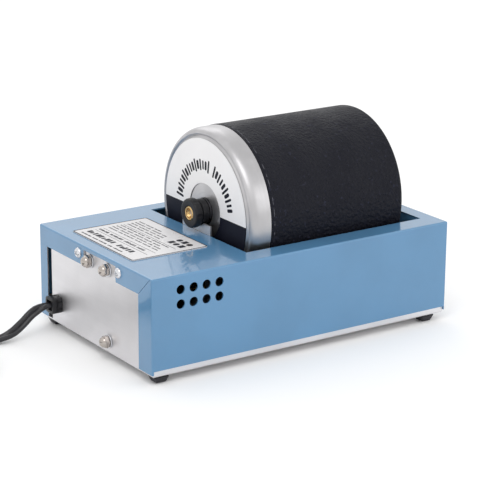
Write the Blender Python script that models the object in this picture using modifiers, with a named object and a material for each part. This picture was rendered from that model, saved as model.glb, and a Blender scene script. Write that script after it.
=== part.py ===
"""A rotary rock tumbler: a rubber barrel that rolls on two shafts over a small motor, in a sheet case.

Metres, +Z up. +X runs from the motor end to the barrel end, -Y is the vented side, and the feet
stand on Z = 0. Each function makes one piece or one group of like pieces.
"""

import math

import bmesh
import bpy
from mathutils import Vector

# Sheet-metal case
COVER_LENGTH = 0.243
COVER_WIDTH = 0.150
TOP_Z = 0.0724
LEFT_X = -0.1188
RIGHT_X = LEFT_X + COVER_LENGTH
HALF_WIDTH = COVER_WIDTH / 2
SHEET = 0.001
PLATE = 0.0012
GAP = 0.0003
BEND_RADIUS = 0.0016
SIDE_BOTTOM_Z = 0.0098
FLANGE_BOTTOM_Z = 0.0072
NEAR_FLANGE = 0.0170
FAR_FLANGE = 0.0108
TOP_FLANGE = 0.0140
NOTCH_Y = (-0.0294, 0.0127)
NOTCH_TOP_Z = TOP_Z - 0.0030
OPENING_X = (-0.0356, 0.1124)
OPENING_Y = (-0.0588, 0.0625)
LIP_DEPTH = 0.012
LIP_INSET = 0.0046
VENT_RADIUS = 0.0032
VENT_PITCH = 0.0099
VENT_FIRST_X = -0.0971
VENT_TOP_Z = TOP_Z - 0.0101

# Aluminium tray and bulkhead
TRAY_Z = 0.0048
FLOOR_Z = TRAY_Z + PLATE
LIP_TOP_Z = 0.020
PANEL_HALF_WIDTH = 0.0605
PANEL_TOP_Z = TOP_Z - SHEET - 0.0005
LEFT_PANEL_X = LEFT_X + SHEET + GAP
RIGHT_PANEL_X = RIGHT_X - SHEET - GAP
BULKHEAD_X = OPENING_X[0] + GAP
TAB_Y = (-0.0145, 0.0205)
TAB_TOP_Z = TOP_Z + 0.0066
TAB_NOTCH_RADIUS = 0.0098

# Barrel
BARREL_Y = 0.0015
BARREL_Z = 0.08565
BARREL_RADIUS = 0.05775
BARREL_START_X = -0.0132
BARREL_END_X = 0.0989
BARREL_WALL = 0.0085
MOUTH_RADIUS = 0.0420
NECK_RADIUS = 0.0555
NECK_CHAMFER = 0.0030
NECK_X = -0.0262
LID_FACE_X = -0.0289
LID_RADIUS = 0.0575
LID_WALL = 0.0011
LABEL_RADIUS = 0.0503
LABEL_HOLE_RADIUS = 0.01915
STUD_RADIUS = 0.0031
KNOB_FRONT_X = -0.0425
KNOB_RADIUS = 0.0103
HUB_RADIUS = 0.0089
WASHER_RADIUS = 0.0092
INSERT_RADIUS = 0.0049

# Rollers and belt drive
ROLLER_RADIUS = 0.0065
ROLLER_OFFSET = 0.036
ROLLER_Z = BARREL_Z - math.sqrt((BARREL_RADIUS + ROLLER_RADIUS + GAP) ** 2 - ROLLER_OFFSET**2)
IDLER_Y = BARREL_Y - ROLLER_OFFSET
DRIVE_Y = BARREL_Y + ROLLER_OFFSET
SHAFT_RADIUS = 0.003175
SLEEVE_X = (-0.014, 0.104)
BELT_X = -0.0485
BELT_RADIUS = 0.0015
WHEEL_PITCH_RADIUS = 0.023
PULLEY_PITCH_RADIUS = 0.0052

# Motor
MOTOR_Y = -0.0173
MOTOR_Z = 0.0385
STUD_SPACING = 0.050
STACK_X = (-0.1000, -0.0780)
STACK_HALF_HEIGHT = 0.0295
STACK_Y = (MOTOR_Y - 0.0200, MOTOR_Y + 0.0420)
ROTOR_RADIUS = 0.0139
MOTOR_SHAFT_RADIUS = 0.0016
MOTOR_STUD_RADIUS = 0.0020
CLIP_Y = 0.0058
COIL_HALF_HEIGHT = 0.0155

# Small hardware
NUT_RADIUS = 0.0044
NUT_TIP_X = LEFT_X - 0.0057
WASHER_THICKNESS = 0.0008
SCREW_HEAD_RADIUS = 0.0036
SCREW_HEAD_HEIGHT = 0.0023
SCREW_Y = (-0.0334, 0.0193)
SCREW_Z = TOP_Z - 0.0065
FOOT_TOP = 0.0108
FOOT_BOTTOM = 0.0072

# Power cord
GLAND_Y = 0.0508
GLAND_Z = 0.0205
GLAND_SIZE = 0.0112
GLAND_FACE_X = LEFT_PANEL_X - 0.0078
CORD_WIDTH = 0.0070
CORD_FLOOR_Z = 0.0037
COIL_CENTRE = (-0.233, 0.030)
COIL_MIDDLE_RADIUS = 0.040
COIL_HALF_BAND = 0.0064
COIL_HEIGHT = 0.0146
PLUG_X = COIL_CENTRE[0] - 0.0445
PLUG_REAR_Y = -0.012
PLUG_Z = 0.0079
PLUG_LENGTH = 0.030
LEAD_START = (GLAND_FACE_X - GAP, GLAND_Y, GLAND_Z)
LEAD_ROUTE = [
    (-0.1290, GLAND_Y, 0.0205),
    (-0.1345, GLAND_Y, 0.0194),
    (-0.1400, GLAND_Y, 0.0165),
    (-0.1465, GLAND_Y, 0.0115),
    (-0.1550, 0.0510, 0.0063),
    (-0.1650, 0.0521, 0.0042),
    (-0.1780, 0.0545, CORD_FLOOR_Z),
    (-0.1925, 0.0597, CORD_FLOOR_Z),
]
TAIL_ROUTE = [
    (PLUG_X, 0.0065, 0.0092),
    (PLUG_X, 0.0005, 0.0085),
    (PLUG_X, -0.0060, PLUG_Z),
    (PLUG_X, PLUG_REAR_Y, PLUG_Z),
]
INNER_LEAD_X = -0.1108
CLIP_LOOP_Z = 0.0552
INNER_LEAD_START = (-0.1106, GLAND_Y, GLAND_Z)
INNER_LEAD_ROUTE = [
    (-0.1086, GLAND_Y, GLAND_Z),
    (-0.1050, 0.0500, 0.0260),
    (-0.1075, 0.0460, 0.0400),
    (-0.1098, 0.0350, 0.0500),
    (INNER_LEAD_X, 0.0240, 0.0545),
    (INNER_LEAD_X, 0.0140, CLIP_LOOP_Z),
    (INNER_LEAD_X, 0.0058, CLIP_LOOP_Z),
    (INNER_LEAD_X, 0.0005, CLIP_LOOP_Z),
    (-0.1098, -0.0030, 0.0535),
    (-0.1070, -0.0040, 0.0495),
    (-0.1040, -0.0020, 0.0465),
    (-0.1036, 0.0015, 0.0460),
    (-0.1036, 0.0038, 0.0460),
]

# name: colour, roughness, metallic
FINISHES = {
    "blue_paint": ((0.13, 0.29, 0.50), 0.25, 0.0),
    "aluminium": ((0.72, 0.71, 0.73), 0.35, 1.0),
    "spun_aluminium": ((0.78, 0.77, 0.78), 0.28, 1.0),
    "steel": ((0.55, 0.55, 0.56), 0.30, 1.0),
    "nickel": ((0.70, 0.66, 0.60), 0.12, 1.0),
    "brass": ((0.70, 0.47, 0.20), 0.30, 1.0),
    "barrel_rubber": ((0.018, 0.018, 0.022), 0.80, 0.0),
    "soft_rubber": ((0.020, 0.020, 0.022), 0.70, 0.0),
    "black_plastic": ((0.015, 0.015, 0.017), 0.35, 0.0),
    "white_nylon": ((0.80, 0.79, 0.74), 0.45, 0.0),
    "label_film": ((0.80, 0.80, 0.80), 0.40, 0.0),
    "lamination": ((0.16, 0.16, 0.17), 0.50, 1.0),
    "coil_tape": ((0.55, 0.42, 0.10), 0.45, 0.0),
    "cord_vinyl": ((0.016, 0.016, 0.018), 0.40, 0.0),
}


def clear_scene():
    for old in list(bpy.data.objects):
        bpy.data.objects.remove(old, do_unlink=True)


def new_collection(name):
    made = bpy.data.collections.new(name)
    bpy.context.scene.collection.children.link(made)
    return made


def finish_material(name):
    """The named finish as a Principled material, made once."""
    if name in bpy.data.materials:
        return bpy.data.materials[name]
    colour, roughness, metallic = FINISHES[name]
    made = bpy.data.materials.new(name)
    made.use_nodes = True
    shader = made.node_tree.nodes["Principled BSDF"]
    shader.inputs["Base Color"].default_value = (*colour, 1.0)
    shader.inputs["Roughness"].default_value = roughness
    shader.inputs["Metallic"].default_value = metallic
    return made


def place(name, data, finish, at=(0, 0, 0), turn=(0, 0, 0)):
    """Links data as a part, or as a cutter where finish is None."""
    made = bpy.data.objects.new(name, data)
    made.location = at
    made.rotation_euler = turn
    if finish is None:
        cutters.objects.link(made)
        made.hide_render = True
        made.display_type = "WIRE"
    else:
        parts.objects.link(made)
        data.materials.append(finish_material(finish))
    return made


def mesh_from(bm, name):
    data = bpy.data.meshes.new(name)
    bm.to_mesh(data)
    bm.free()
    data.shade_smooth()
    data.set_sharp_from_angle(angle=math.radians(35))
    return data


def box(name, low, high, finish=None, bevel=0.0, bevel_bottom=True):
    """A box between two corners, with its upright and top edges rounded by bevel."""
    low, high = Vector(low), Vector(high)
    bm = bmesh.new()
    bmesh.ops.create_cube(bm, size=1.0)
    bmesh.ops.scale(bm, vec=high - low, verts=bm.verts)
    if bevel:
        edges = [e for e in bm.edges if bevel_bottom or any(v.co.z > 0 for v in e.verts)]
        bmesh.ops.bevel(bm, geom=edges, offset=bevel, segments=2, profile=0.5, affect="EDGES")
    return place(name, mesh_from(bm, name), finish, at=(low + high) / 2)


def turned(name, profile, at, finish=None, steps=32, along="X", closed=False):
    """A turned piece. Its profile holds (radius, distance along the axis), down its outer side."""
    bm = bmesh.new()
    points = [bm.verts.new((radius, 0, height)) for radius, height in profile]
    for start, end in zip(points, points[1:]):
        bm.edges.new((start, end))
    if closed:
        bm.edges.new((points[-1], points[0]))
    data = bpy.data.meshes.new(name)
    bm.to_mesh(data)
    bm.free()
    turn = (0, math.pi / 2, 0) if along == "X" else (0, 0, 0)
    if along == "Y":
        turn = (-math.pi / 2, 0, 0)
    made = place(name, data, finish, at=at, turn=turn)
    screw = made.modifiers.new("turned", "SCREW")
    screw.steps = steps
    screw.render_steps = steps
    screw.use_merge_vertices = True
    screw.merge_threshold = 0.00001
    return made


def rod(name, radius, start, length, finish=None, steps=16, along="X"):
    """A plain cylinder from start, along one axis."""
    return turned(
        name,
        [(0, length), (radius, length), (radius, 0), (0, 0)],
        start,
        finish,
        steps,
        along,
    )


def ring(name, inner, outer, start, length, finish=None, steps=32, along="X"):
    """A plain tube or washer from start, along one axis."""
    profile = [(inner, length), (outer, length), (outer, 0), (inner, 0)]
    return turned(name, profile, start, finish, steps, along, closed=True)


def boolean(target, other, operation):
    step = target.modifiers.new(other.name, "BOOLEAN")
    step.operation = operation
    step.object = other
    step.solver = "EXACT"


def cut(target, *others):
    for other in others:
        boolean(target, other, "DIFFERENCE")


def join(target, *others):
    for other in others:
        boolean(target, other, "UNION")


def smooth_route(points, spacing):
    """Evenly spaced points on a smooth curve through the route's own points."""
    points = [Vector(p) for p in points]
    ends = [2 * points[0] - points[1], *points, 2 * points[-1] - points[-2]]
    dense = []
    for before, start, end, after in zip(ends, ends[1:], ends[2:], ends[3:]):
        for i in range(12):
            t = i / 12
            dense.append(
                0.5
                * (
                    2 * start
                    + (end - before) * t
                    + (2 * before - 5 * start + 4 * end - after) * t**2
                    + (3 * start - before - 3 * end + after) * t**3
                )
            )
    dense.append(points[-1])
    total = sum((b - a).length for a, b in zip(dense, dense[1:]))
    count = max(2, round(total / spacing))
    spaced, walked, target = [dense[0]], 0.0, total / count
    for a, b in zip(dense, dense[1:]):
        step = (b - a).length
        while walked + step >= target and len(spaced) < count:
            spaced.append(a.lerp(b, (target - walked) / step))
            target += total / count
        walked += step
    return [*spaced, dense[-1]]


def tube(name, points, radius, finish, cyclic=False):
    """A round tube along a line of points."""
    curve = bpy.data.curves.new(name, "CURVE")
    curve.dimensions = "3D"
    line = curve.splines.new("POLY")
    line.points.add(len(points) - 1)
    for slot, point in zip(line.points, points):
        slot.co = (*point, 1)
    line.use_cyclic_u = cyclic
    line.use_smooth = True
    curve.bevel_depth = radius
    curve.bevel_resolution = 2
    curve.use_fill_caps = not cyclic
    return place(name, curve, finish)


def housing_cover():
    """The painted cover: five folded faces, end flanges, the barrel opening and the vents."""
    cover = box(
        "housing_cover",
        (LEFT_X, -HALF_WIDTH, FLANGE_BOTTOM_Z),
        (RIGHT_X, HALF_WIDTH, TOP_Z),
        "blue_paint",
        bevel=BEND_RADIUS,
        bevel_bottom=False,
    )
    inside = box(
        "cover_inside",
        (LEFT_X + SHEET, -HALF_WIDTH + SHEET, FLANGE_BOTTOM_Z - 0.01),
        (RIGHT_X - SHEET, HALF_WIDTH - SHEET, TOP_Z - SHEET),
    )
    side_trim = box(
        "cover_side_trim",
        (LEFT_X + SHEET, -HALF_WIDTH - 0.002, FLANGE_BOTTOM_Z - 0.02),
        (RIGHT_X - SHEET, HALF_WIDTH + 0.002, SIDE_BOTTOM_Z),
    )
    end_windows = box(
        "cover_end_windows",
        (LEFT_X - 0.003, -HALF_WIDTH + NEAR_FLANGE, FLANGE_BOTTOM_Z - 0.03),
        (RIGHT_X + 0.003, HALF_WIDTH - FAR_FLANGE, TOP_Z - TOP_FLANGE),
    )
    notch = box(
        "cover_notch",
        (LEFT_X - 0.004, NOTCH_Y[0], TOP_Z - TOP_FLANGE - 0.002),
        (LEFT_X + 0.0025, NOTCH_Y[1], NOTCH_TOP_Z),
    )
    opening = box(
        "cover_opening",
        (OPENING_X[0], OPENING_Y[0], TOP_Z - 0.025),
        (OPENING_X[1], OPENING_Y[1], TOP_Z + 0.01),
    )
    cut(cover, inside, side_trim, end_windows, notch)
    lip_y = (OPENING_Y[0] + LIP_INSET, OPENING_Y[1] - LIP_INSET)
    for side, start, end in (
        ("left", OPENING_X[0] - SHEET, OPENING_X[0] + 0.0005),
        ("right", OPENING_X[1] - 0.0005, OPENING_X[1] + SHEET),
    ):
        lip = box(
            f"cover_lip_{side}",
            (start, lip_y[0], TOP_Z - LIP_DEPTH),
            (end, lip_y[1], TOP_Z - SHEET / 2),
        )
        join(cover, lip)
    cut(cover, opening)
    for column in range(4):
        for row in range(2):
            hole = rod(
                f"cover_vent_{column}_{row}",
                VENT_RADIUS,
                (
                    VENT_FIRST_X + column * VENT_PITCH,
                    -HALF_WIDTH - 0.002,
                    VENT_TOP_Z - row * VENT_PITCH,
                ),
                0.006,
                steps=20,
                along="Y",
            )
            cut(cover, hole)
    for y in SCREW_Y:
        for end_x in (LEFT_X, RIGHT_X):
            hole = rod(
                f"cover_screw_hole_{end_x:.2f}_{y:.2f}", 0.0022, (end_x - 0.0025, y, SCREW_Z), 0.005, steps=16
            )
            cut(cover, hole)


def chassis_tray():
    """The folded tray: floor, low side lips and two upright end panels."""
    half = HALF_WIDTH - SHEET - GAP
    tray = box(
        "chassis_tray",
        (LEFT_PANEL_X, -half, TRAY_Z),
        (RIGHT_PANEL_X, half, PANEL_TOP_Z),
        "aluminium",
    )
    inside = box(
        "tray_inside",
        (LEFT_PANEL_X + PLATE, -half + PLATE, FLOOR_Z),
        (RIGHT_PANEL_X - PLATE, half - PLATE, PANEL_TOP_Z + 0.01),
    )
    cut(tray, inside)
    for side in (-1, 1):
        edge, far = side * PANEL_HALF_WIDTH, side * (half + 0.003)
        above_lip = box(
            f"tray_above_lip_{side}",
            (LEFT_PANEL_X - 0.003, min(edge, far), LIP_TOP_Z),
            (RIGHT_PANEL_X + 0.003, max(edge, far), PANEL_TOP_Z + 0.02),
        )
        cut(tray, above_lip)
        for end, x in (("left", LEFT_PANEL_X), ("right", RIGHT_PANEL_X)):
            slot = box(
                f"tray_corner_{end}_{side}",
                (x - 0.004, min(edge, side * (half - PLATE)), FLOOR_Z + 0.0004),
                (x + 0.004, max(edge, side * (half - PLATE)), PANEL_TOP_Z + 0.03),
            )
            cut(tray, slot)
    holes = [
        (LEFT_PANEL_X, MOTOR_Y, MOTOR_Z + STUD_SPACING / 2, MOTOR_STUD_RADIUS + GAP),
        (LEFT_PANEL_X, MOTOR_Y, MOTOR_Z - STUD_SPACING / 2, MOTOR_STUD_RADIUS + GAP),
        (LEFT_PANEL_X, CLIP_Y, MOTOR_Z + STUD_SPACING / 2, MOTOR_STUD_RADIUS + GAP),
        (LEFT_PANEL_X, GLAND_Y, GLAND_Z, 0.0058),
        (RIGHT_PANEL_X, IDLER_Y, ROLLER_Z, 0.0053),
        (RIGHT_PANEL_X, DRIVE_Y, ROLLER_Z, 0.0053),
    ]
    for x in (LEFT_PANEL_X, RIGHT_PANEL_X):
        holes += [(x, y, SCREW_Z, 0.0018) for y in SCREW_Y]
    for i, (x, y, z, radius) in enumerate(holes):
        cut(tray, rod(f"tray_hole_{i}", radius, (x - 0.004, y, z), 0.008, steps=16))


def inner_bulkhead():
    """The plate between motor and barrel, with the bearings' holes and a stop tab for the barrel."""
    back = BULKHEAD_X + PLATE
    plate = box(
        "inner_bulkhead",
        (BULKHEAD_X, -PANEL_HALF_WIDTH, FLOOR_Z + GAP),
        (back, PANEL_HALF_WIDTH, TOP_Z - SHEET - 0.0022),
        "aluminium",
    )
    tab = box("bulkhead_tab", (BULKHEAD_X, TAB_Y[0], 0.060), (back, TAB_Y[1], TAB_TOP_Z))
    foot = box(
        "bulkhead_foot",
        (BULKHEAD_X - 0.0088, -PANEL_HALF_WIDTH, FLOOR_Z + GAP),
        (back, PANEL_HALF_WIDTH, FLOOR_Z + GAP + PLATE),
    )
    join(plate, tab, foot)
    hub_notch = rod(
        "bulkhead_hub_notch", TAB_NOTCH_RADIUS, (BULKHEAD_X - 0.003, BARREL_Y, BARREL_Z), 0.008, steps=32
    )
    cut(plate, hub_notch)
    for name, y in (("idler", IDLER_Y), ("drive", DRIVE_Y)):
        cut(plate, rod(f"bulkhead_{name}_hole", 0.0053, (BULKHEAD_X - 0.003, y, ROLLER_Z), 0.008))


def rubber_feet():
    """Four tapered square bumpers under the tray's corners."""
    for name, x, y in (
        ("front_left", LEFT_X + 0.0089, -HALF_WIDTH + 0.0074),
        ("front_right", RIGHT_X - 0.0135, -HALF_WIDTH + 0.0074),
        ("rear_left", LEFT_X + 0.0089, HALF_WIDTH - 0.0074),
        ("rear_right", RIGHT_X - 0.0135, HALF_WIDTH - 0.0074),
    ):
        height = TRAY_Z - GAP
        bm = bmesh.new()
        bmesh.ops.create_cone(
            bm,
            cap_ends=True,
            segments=4,
            radius1=FOOT_BOTTOM / math.sqrt(2),
            radius2=FOOT_TOP / math.sqrt(2),
            depth=height,
        )
        data = mesh_from(bm, f"foot_{name}")
        place(f"foot_{name}", data, "soft_rubber", (x, y, height / 2), (0, 0, math.pi / 4))


def cover_screws():
    """Pan-head screws that hold the cover to the tray's end panels."""
    dome = [
        (SCREW_HEAD_RADIUS * math.cos(a), SCREW_HEAD_HEIGHT * (0.35 + 0.65 * math.sin(a)))
        for a in (math.radians(d) for d in (65, 35, 0))
    ]
    profile = [(0, SCREW_HEAD_HEIGHT), *dome, (SCREW_HEAD_RADIUS, GAP), (0.0015, GAP), (0.0015, -0.006)]
    profile.append((0, -0.006))
    for end, x, turn in (("left", LEFT_X, -math.pi / 2), ("right", RIGHT_X, math.pi / 2)):
        for i, y in enumerate(SCREW_Y):
            screw = turned(f"cover_screw_{end}_{i + 1}", profile, (x, y, SCREW_Z), "steel", steps=16)
            screw.rotation_euler = (0, turn, 0)


def rating_label():
    """The rating plate on the motor compartment's top."""
    corner = 0.002
    bm = bmesh.new()
    bmesh.ops.create_cube(bm, size=1.0)
    bmesh.ops.scale(bm, vec=(0.0592, 0.0802, 0.0003), verts=bm.verts)
    upright = [e for e in bm.edges if abs(e.verts[0].co.z - e.verts[1].co.z) > 0.0001]
    bmesh.ops.bevel(bm, geom=upright, offset=corner, segments=4, profile=0.5, affect="EDGES")
    place("rating_label", mesh_from(bm, "rating_label"), "label_film", (-0.0796, 0.0052, TOP_Z + 0.00045))


def motor_stator():
    """The laminated C-frame: rotor bore, coil window and two stud holes."""
    low = MOTOR_Z - STACK_HALF_HEIGHT
    high = MOTOR_Z + STACK_HALF_HEIGHT
    stack = box("motor_stator", (STACK_X[0], STACK_Y[0], low), (STACK_X[1], STACK_Y[1], high), "lamination")
    start = STACK_X[0] - 0.002
    deep = STACK_X[1] - STACK_X[0] + 0.004
    window = box(
        "stator_window",
        (start, MOTOR_Y + 0.0205, MOTOR_Z - COIL_HALF_HEIGHT - GAP),
        (start + deep, MOTOR_Y + 0.0305, MOTOR_Z + COIL_HALF_HEIGHT + GAP),
    )
    cut(stack, window, rod("stator_bore", ROTOR_RADIUS + 0.0004, (start, MOTOR_Y, MOTOR_Z), deep, steps=32))
    for side in (-1, 1):
        hole = rod(
            f"stator_hole_{side}",
            MOTOR_STUD_RADIUS + GAP,
            (start, MOTOR_Y, MOTOR_Z + side * STUD_SPACING / 2),
            deep,
            steps=16,
        )
        cut(stack, hole)


def motor_coil():
    """The taped winding around the stator's outer leg."""
    leg_y = (MOTOR_Y + 0.0305, STACK_Y[1])
    coil = box(
        "motor_coil",
        (STACK_X[0] - 0.007, leg_y[0] - 0.009, MOTOR_Z - COIL_HALF_HEIGHT),
        (STACK_X[1] + 0.007, leg_y[1] + 0.009, MOTOR_Z + COIL_HALF_HEIGHT),
        "coil_tape",
        bevel=0.002,
    )
    leg = box(
        "coil_leg",
        (STACK_X[0] - GAP, leg_y[0] - GAP, MOTOR_Z - 0.02),
        (STACK_X[1] + GAP, leg_y[1] + GAP, MOTOR_Z + 0.02),
    )
    cut(coil, leg)


def motor_brackets():
    """The two bearing brackets; the outer one stands off the end panel on two bosses."""
    half_width = 0.009
    for name, start, boss_start in (
        ("outer", STACK_X[0] - GAP - 0.004, STACK_X[0] - GAP - 0.0095),
        ("inner", STACK_X[1] + GAP, STACK_X[1] + GAP + 0.002),
    ):
        strap = box(
            f"motor_bracket_{name}",
            (start, MOTOR_Y - half_width, MOTOR_Z - STACK_HALF_HEIGHT),
            (start + 0.004, MOTOR_Y + half_width, MOTOR_Z + STACK_HALF_HEIGHT),
            "aluminium",
            bevel=0.0008,
        )
        join(strap, rod(f"bracket_boss_{name}", 0.0065, (boss_start, MOTOR_Y, MOTOR_Z), 0.0075, steps=24))
        for side in (-1, 1):
            stud_z = MOTOR_Z + side * STUD_SPACING / 2
            if name == "outer":
                foot_x = LEFT_PANEL_X + PLATE + GAP
                length = start + 0.002 - foot_x
                join(strap, rod(f"bracket_foot_{side}", 0.0042, (foot_x, MOTOR_Y, stud_z), length))
            hole = rod(
                f"bracket_{name}_hole_{side}",
                MOTOR_STUD_RADIUS + GAP,
                (start - 0.02, MOTOR_Y, stud_z),
                0.03,
                steps=16,
            )
            cut(strap, hole)
        bore = rod(f"bracket_{name}_bore", MOTOR_SHAFT_RADIUS + GAP, (start - 0.02, MOTOR_Y, MOTOR_Z), 0.04)
        cut(strap, bore)


def motor_rotor():
    """Rotor core, shaft, cooling fan and pulley, all turning on the motor's axis."""
    axis = (STACK_X[0], MOTOR_Y, MOTOR_Z)
    ring("motor_rotor", MOTOR_SHAFT_RADIUS + GAP, ROTOR_RADIUS, axis, STACK_X[1] - STACK_X[0], "steel")
    rod("motor_shaft", MOTOR_SHAFT_RADIUS, (-0.1115, MOTOR_Y, MOTOR_Z), 0.068, "steel", steps=16)
    fan_x, fan_radius = -0.0655, 0.0190
    fan = turned(
        "cooling_fan",
        [
            (MOTOR_SHAFT_RADIUS + GAP, 0.0085),
            (0.0045, 0.0085),
            (0.0045, 0.0014),
            (fan_radius, 0.0014),
            (fan_radius, 0),
            (MOTOR_SHAFT_RADIUS + GAP, 0),
        ],
        (fan_x, MOTOR_Y, MOTOR_Z),
        "black_plastic",
        closed=True,
    )
    for i in range(8):
        turn = i * math.tau / 8
        blade = box(f"fan_blade_{i}", (0.0003, 0.0040, -0.0005), (0.0078, 0.0182, 0.0005))
        middle_x, reach = blade.location[:2]
        blade.location = (
            fan_x + middle_x,
            MOTOR_Y + reach * math.cos(turn),
            MOTOR_Z + reach * math.sin(turn),
        )
        blade.rotation_euler = (turn, 0, 0)
        join(fan, blade)
    grooved_wheel("motor_pulley", PULLEY_PITCH_RADIUS, 0.0018, MOTOR_SHAFT_RADIUS, (MOTOR_Y, MOTOR_Z), "brass")


def grooved_wheel(name, pitch_radius, rim, shaft_radius, centre, finish, hub_radius=None):
    """A wheel with a round groove for the belt."""
    bottom = pitch_radius - BELT_RADIUS - GAP
    edge = pitch_radius + rim
    groove_half = 0.0022
    rim_half = 0.0036
    profile = [(edge, rim_half), (edge, groove_half), (bottom, 0.0012), (bottom, -0.0012), (edge, -groove_half)]
    profile.append((edge, -rim_half))
    bore = shaft_radius + GAP
    if hub_radius:
        hub_half = 0.0052
        profile = [(bore, hub_half), (hub_radius, hub_half), (hub_radius, rim_half), *profile]
        profile += [(hub_radius, -rim_half), (hub_radius, -hub_half), (bore, -hub_half)]
    else:
        profile = [(bore, rim_half), *profile, (bore, -rim_half)]
    turned(name, profile, (BELT_X, *centre), finish, steps=28 if hub_radius else 16, closed=True)


def motor_fixings():
    """Two long studs through the motor, the cord clip's screw, and their washers and dome nuts."""
    outer = LEFT_PANEL_X - GAP
    nut_x = outer - WASHER_THICKNESS - GAP
    for name, y, z in (
        ("upper", MOTOR_Y, MOTOR_Z + STUD_SPACING / 2),
        ("lower", MOTOR_Y, MOTOR_Z - STUD_SPACING / 2),
        ("clip", CLIP_Y, MOTOR_Z + STUD_SPACING / 2),
    ):
        ring(f"washer_{name}", 0.0023, 0.0048, (outer - WASHER_THICKNESS, y, z), WASHER_THICKNESS, "nickel", 16)
        height = nut_x - NUT_TIP_X
        hexagon = turned(
            f"dome_nut_{name}",
            [(0, 0), (NUT_RADIUS, 0), (NUT_RADIUS, -0.0026), (0, -0.0026)],
            (nut_x, y, z),
            "nickel",
            steps=6,
        )
        arc = [(math.cos(a), math.sin(a)) for a in (math.radians(d) for d in (0, 30, 55, 75))]
        dome_radius = NUT_RADIUS * 0.86
        dome = [(0, -0.0012), (dome_radius, -0.0012)]
        dome += [(dome_radius * c, -0.0022 - (height - 0.0022) * s) for c, s in arc]
        dome.append((0, -height))
        join(hexagon, turned(f"nut_dome_{name}", dome, (nut_x, y, z), steps=16))
        cut(hexagon, rod(f"nut_bore_{name}", 0.0023, (nut_x - 0.0045, y, z), 0.006, steps=16))
        tip = nut_x - 0.0042
        inner_end = -0.1140 if name == "clip" else STACK_X[1] + GAP + 0.0075
        stud_name = "clip_screw" if name == "clip" else f"motor_stud_{name}"
        if name != "clip":
            rod(stud_name, MOTOR_STUD_RADIUS, (tip, y, z), inner_end - tip, "steel", steps=16)
            continue
        turned(
            stud_name,
            [
                (0, inner_end - tip + 0.002),
                (0.0036, inner_end - tip + 0.002),
                (0.0036, inner_end - tip),
                (MOTOR_STUD_RADIUS, inner_end - tip),
                (MOTOR_STUD_RADIUS, 0),
                (0, 0),
            ],
            (tip, y, z),
            "steel",
            steps=16,
        )


def cord_clip():
    """The P-clip that holds the inner lead to the end panel."""
    lead_x, lead_z = INNER_LEAD_X, CLIP_LOOP_Z
    face = LEFT_PANEL_X + PLATE + GAP
    strap = box(
        "cord_clip",
        (face, CLIP_Y - 0.004, lead_z + 0.0015),
        (face + 0.0012, CLIP_Y + 0.004, MOTOR_Z + STUD_SPACING / 2 + 0.004),
        "black_plastic",
    )
    join(strap, rod("clip_loop", 0.0044, (lead_x, CLIP_Y - 0.004, lead_z), 0.008, along="Y"))
    cut(strap, rod("clip_bore", 0.0032, (lead_x, CLIP_Y - 0.006, lead_z), 0.012, along="Y"))
    stud_z = MOTOR_Z + STUD_SPACING / 2
    cut(strap, rod("clip_hole", MOTOR_STUD_RADIUS + GAP, (face - 0.003, CLIP_Y, stud_z), 0.007, steps=16))


def rollers():
    """Drive and idler shafts with their sleeves, bearings and retaining clips."""
    panel_inner = RIGHT_PANEL_X - PLATE
    for name, y, start, sleeve in (
        ("drive", DRIVE_Y, BELT_X - 0.0065, "soft_rubber"),
        ("idler", IDLER_Y, BULKHEAD_X - 0.0065, "white_nylon"),
    ):
        end = RIGHT_PANEL_X + 0.0006
        rod(f"{name}_shaft", SHAFT_RADIUS, (start, y, ROLLER_Z), end - start, "steel", steps=24)
        ring(
            f"{name}_sleeve",
            SHAFT_RADIUS + GAP,
            ROLLER_RADIUS,
            (SLEEVE_X[0], y, ROLLER_Z),
            SLEEVE_X[1] - SLEEVE_X[0],
            sleeve,
        )
        bore = SHAFT_RADIUS + GAP
        for side, inner_face, way in (
            ("left", BULKHEAD_X + PLATE + GAP, 1),
            ("right", panel_inner - GAP, -1),
        ):
            profile = [
                (bore, 0.0014 * way),
                (0.0072, 0.0014 * way),
                (0.0072, 0),
                (0.0050, 0),
                (0.0050, -0.0034 * way),
                (bore, -0.0034 * way),
            ]
            if way < 0:
                profile.reverse()
            turned(
                f"bearing_{name}_{side}",
                profile,
                (inner_face, y, ROLLER_Z),
                "white_nylon",
                steps=16,
                closed=True,
            )
        for side, x in (("left", BULKHEAD_X - 0.0050), ("right", panel_inner - 0.0032)):
            clip = ring(f"clip_{name}_{side}", bore, 0.0056, (x, y, ROLLER_Z), 0.0007, "steel", 16)
            mouth = box(f"clip_{name}_{side}_mouth", (x - 0.001, y - 0.0016, ROLLER_Z), (x + 0.002, y + 0.0016, 0.05))
            cut(clip, mouth)
    grooved_wheel(
        "drive_wheel",
        WHEEL_PITCH_RADIUS,
        0.0018,
        SHAFT_RADIUS,
        (DRIVE_Y, ROLLER_Z),
        "black_plastic",
        hub_radius=0.0075,
    )


def drive_belt():
    """The round belt around the motor pulley and the drive wheel."""
    small, large = Vector((MOTOR_Y, MOTOR_Z)), Vector((DRIVE_Y, ROLLER_Z))
    across = large - small
    lean = math.asin((WHEEL_PITCH_RADIUS - PULLEY_PITCH_RADIUS) / across.length)
    heading = math.atan2(across.y, across.x)
    points = []
    for centre, radius, start, sweep, count in (
        (large, WHEEL_PITCH_RADIUS, heading - math.pi / 2 - lean, math.pi + 2 * lean, 24),
        (small, PULLEY_PITCH_RADIUS, heading + math.pi / 2 + lean, math.pi - 2 * lean, 8),
    ):
        for i in range(count + 1):
            angle = start + sweep * i / count
            points.append((BELT_X, centre.x + radius * math.cos(angle), centre.y + radius * math.sin(angle)))
    tube("drive_belt", points, BELT_RADIUS, "soft_rubber", cyclic=True)


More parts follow.
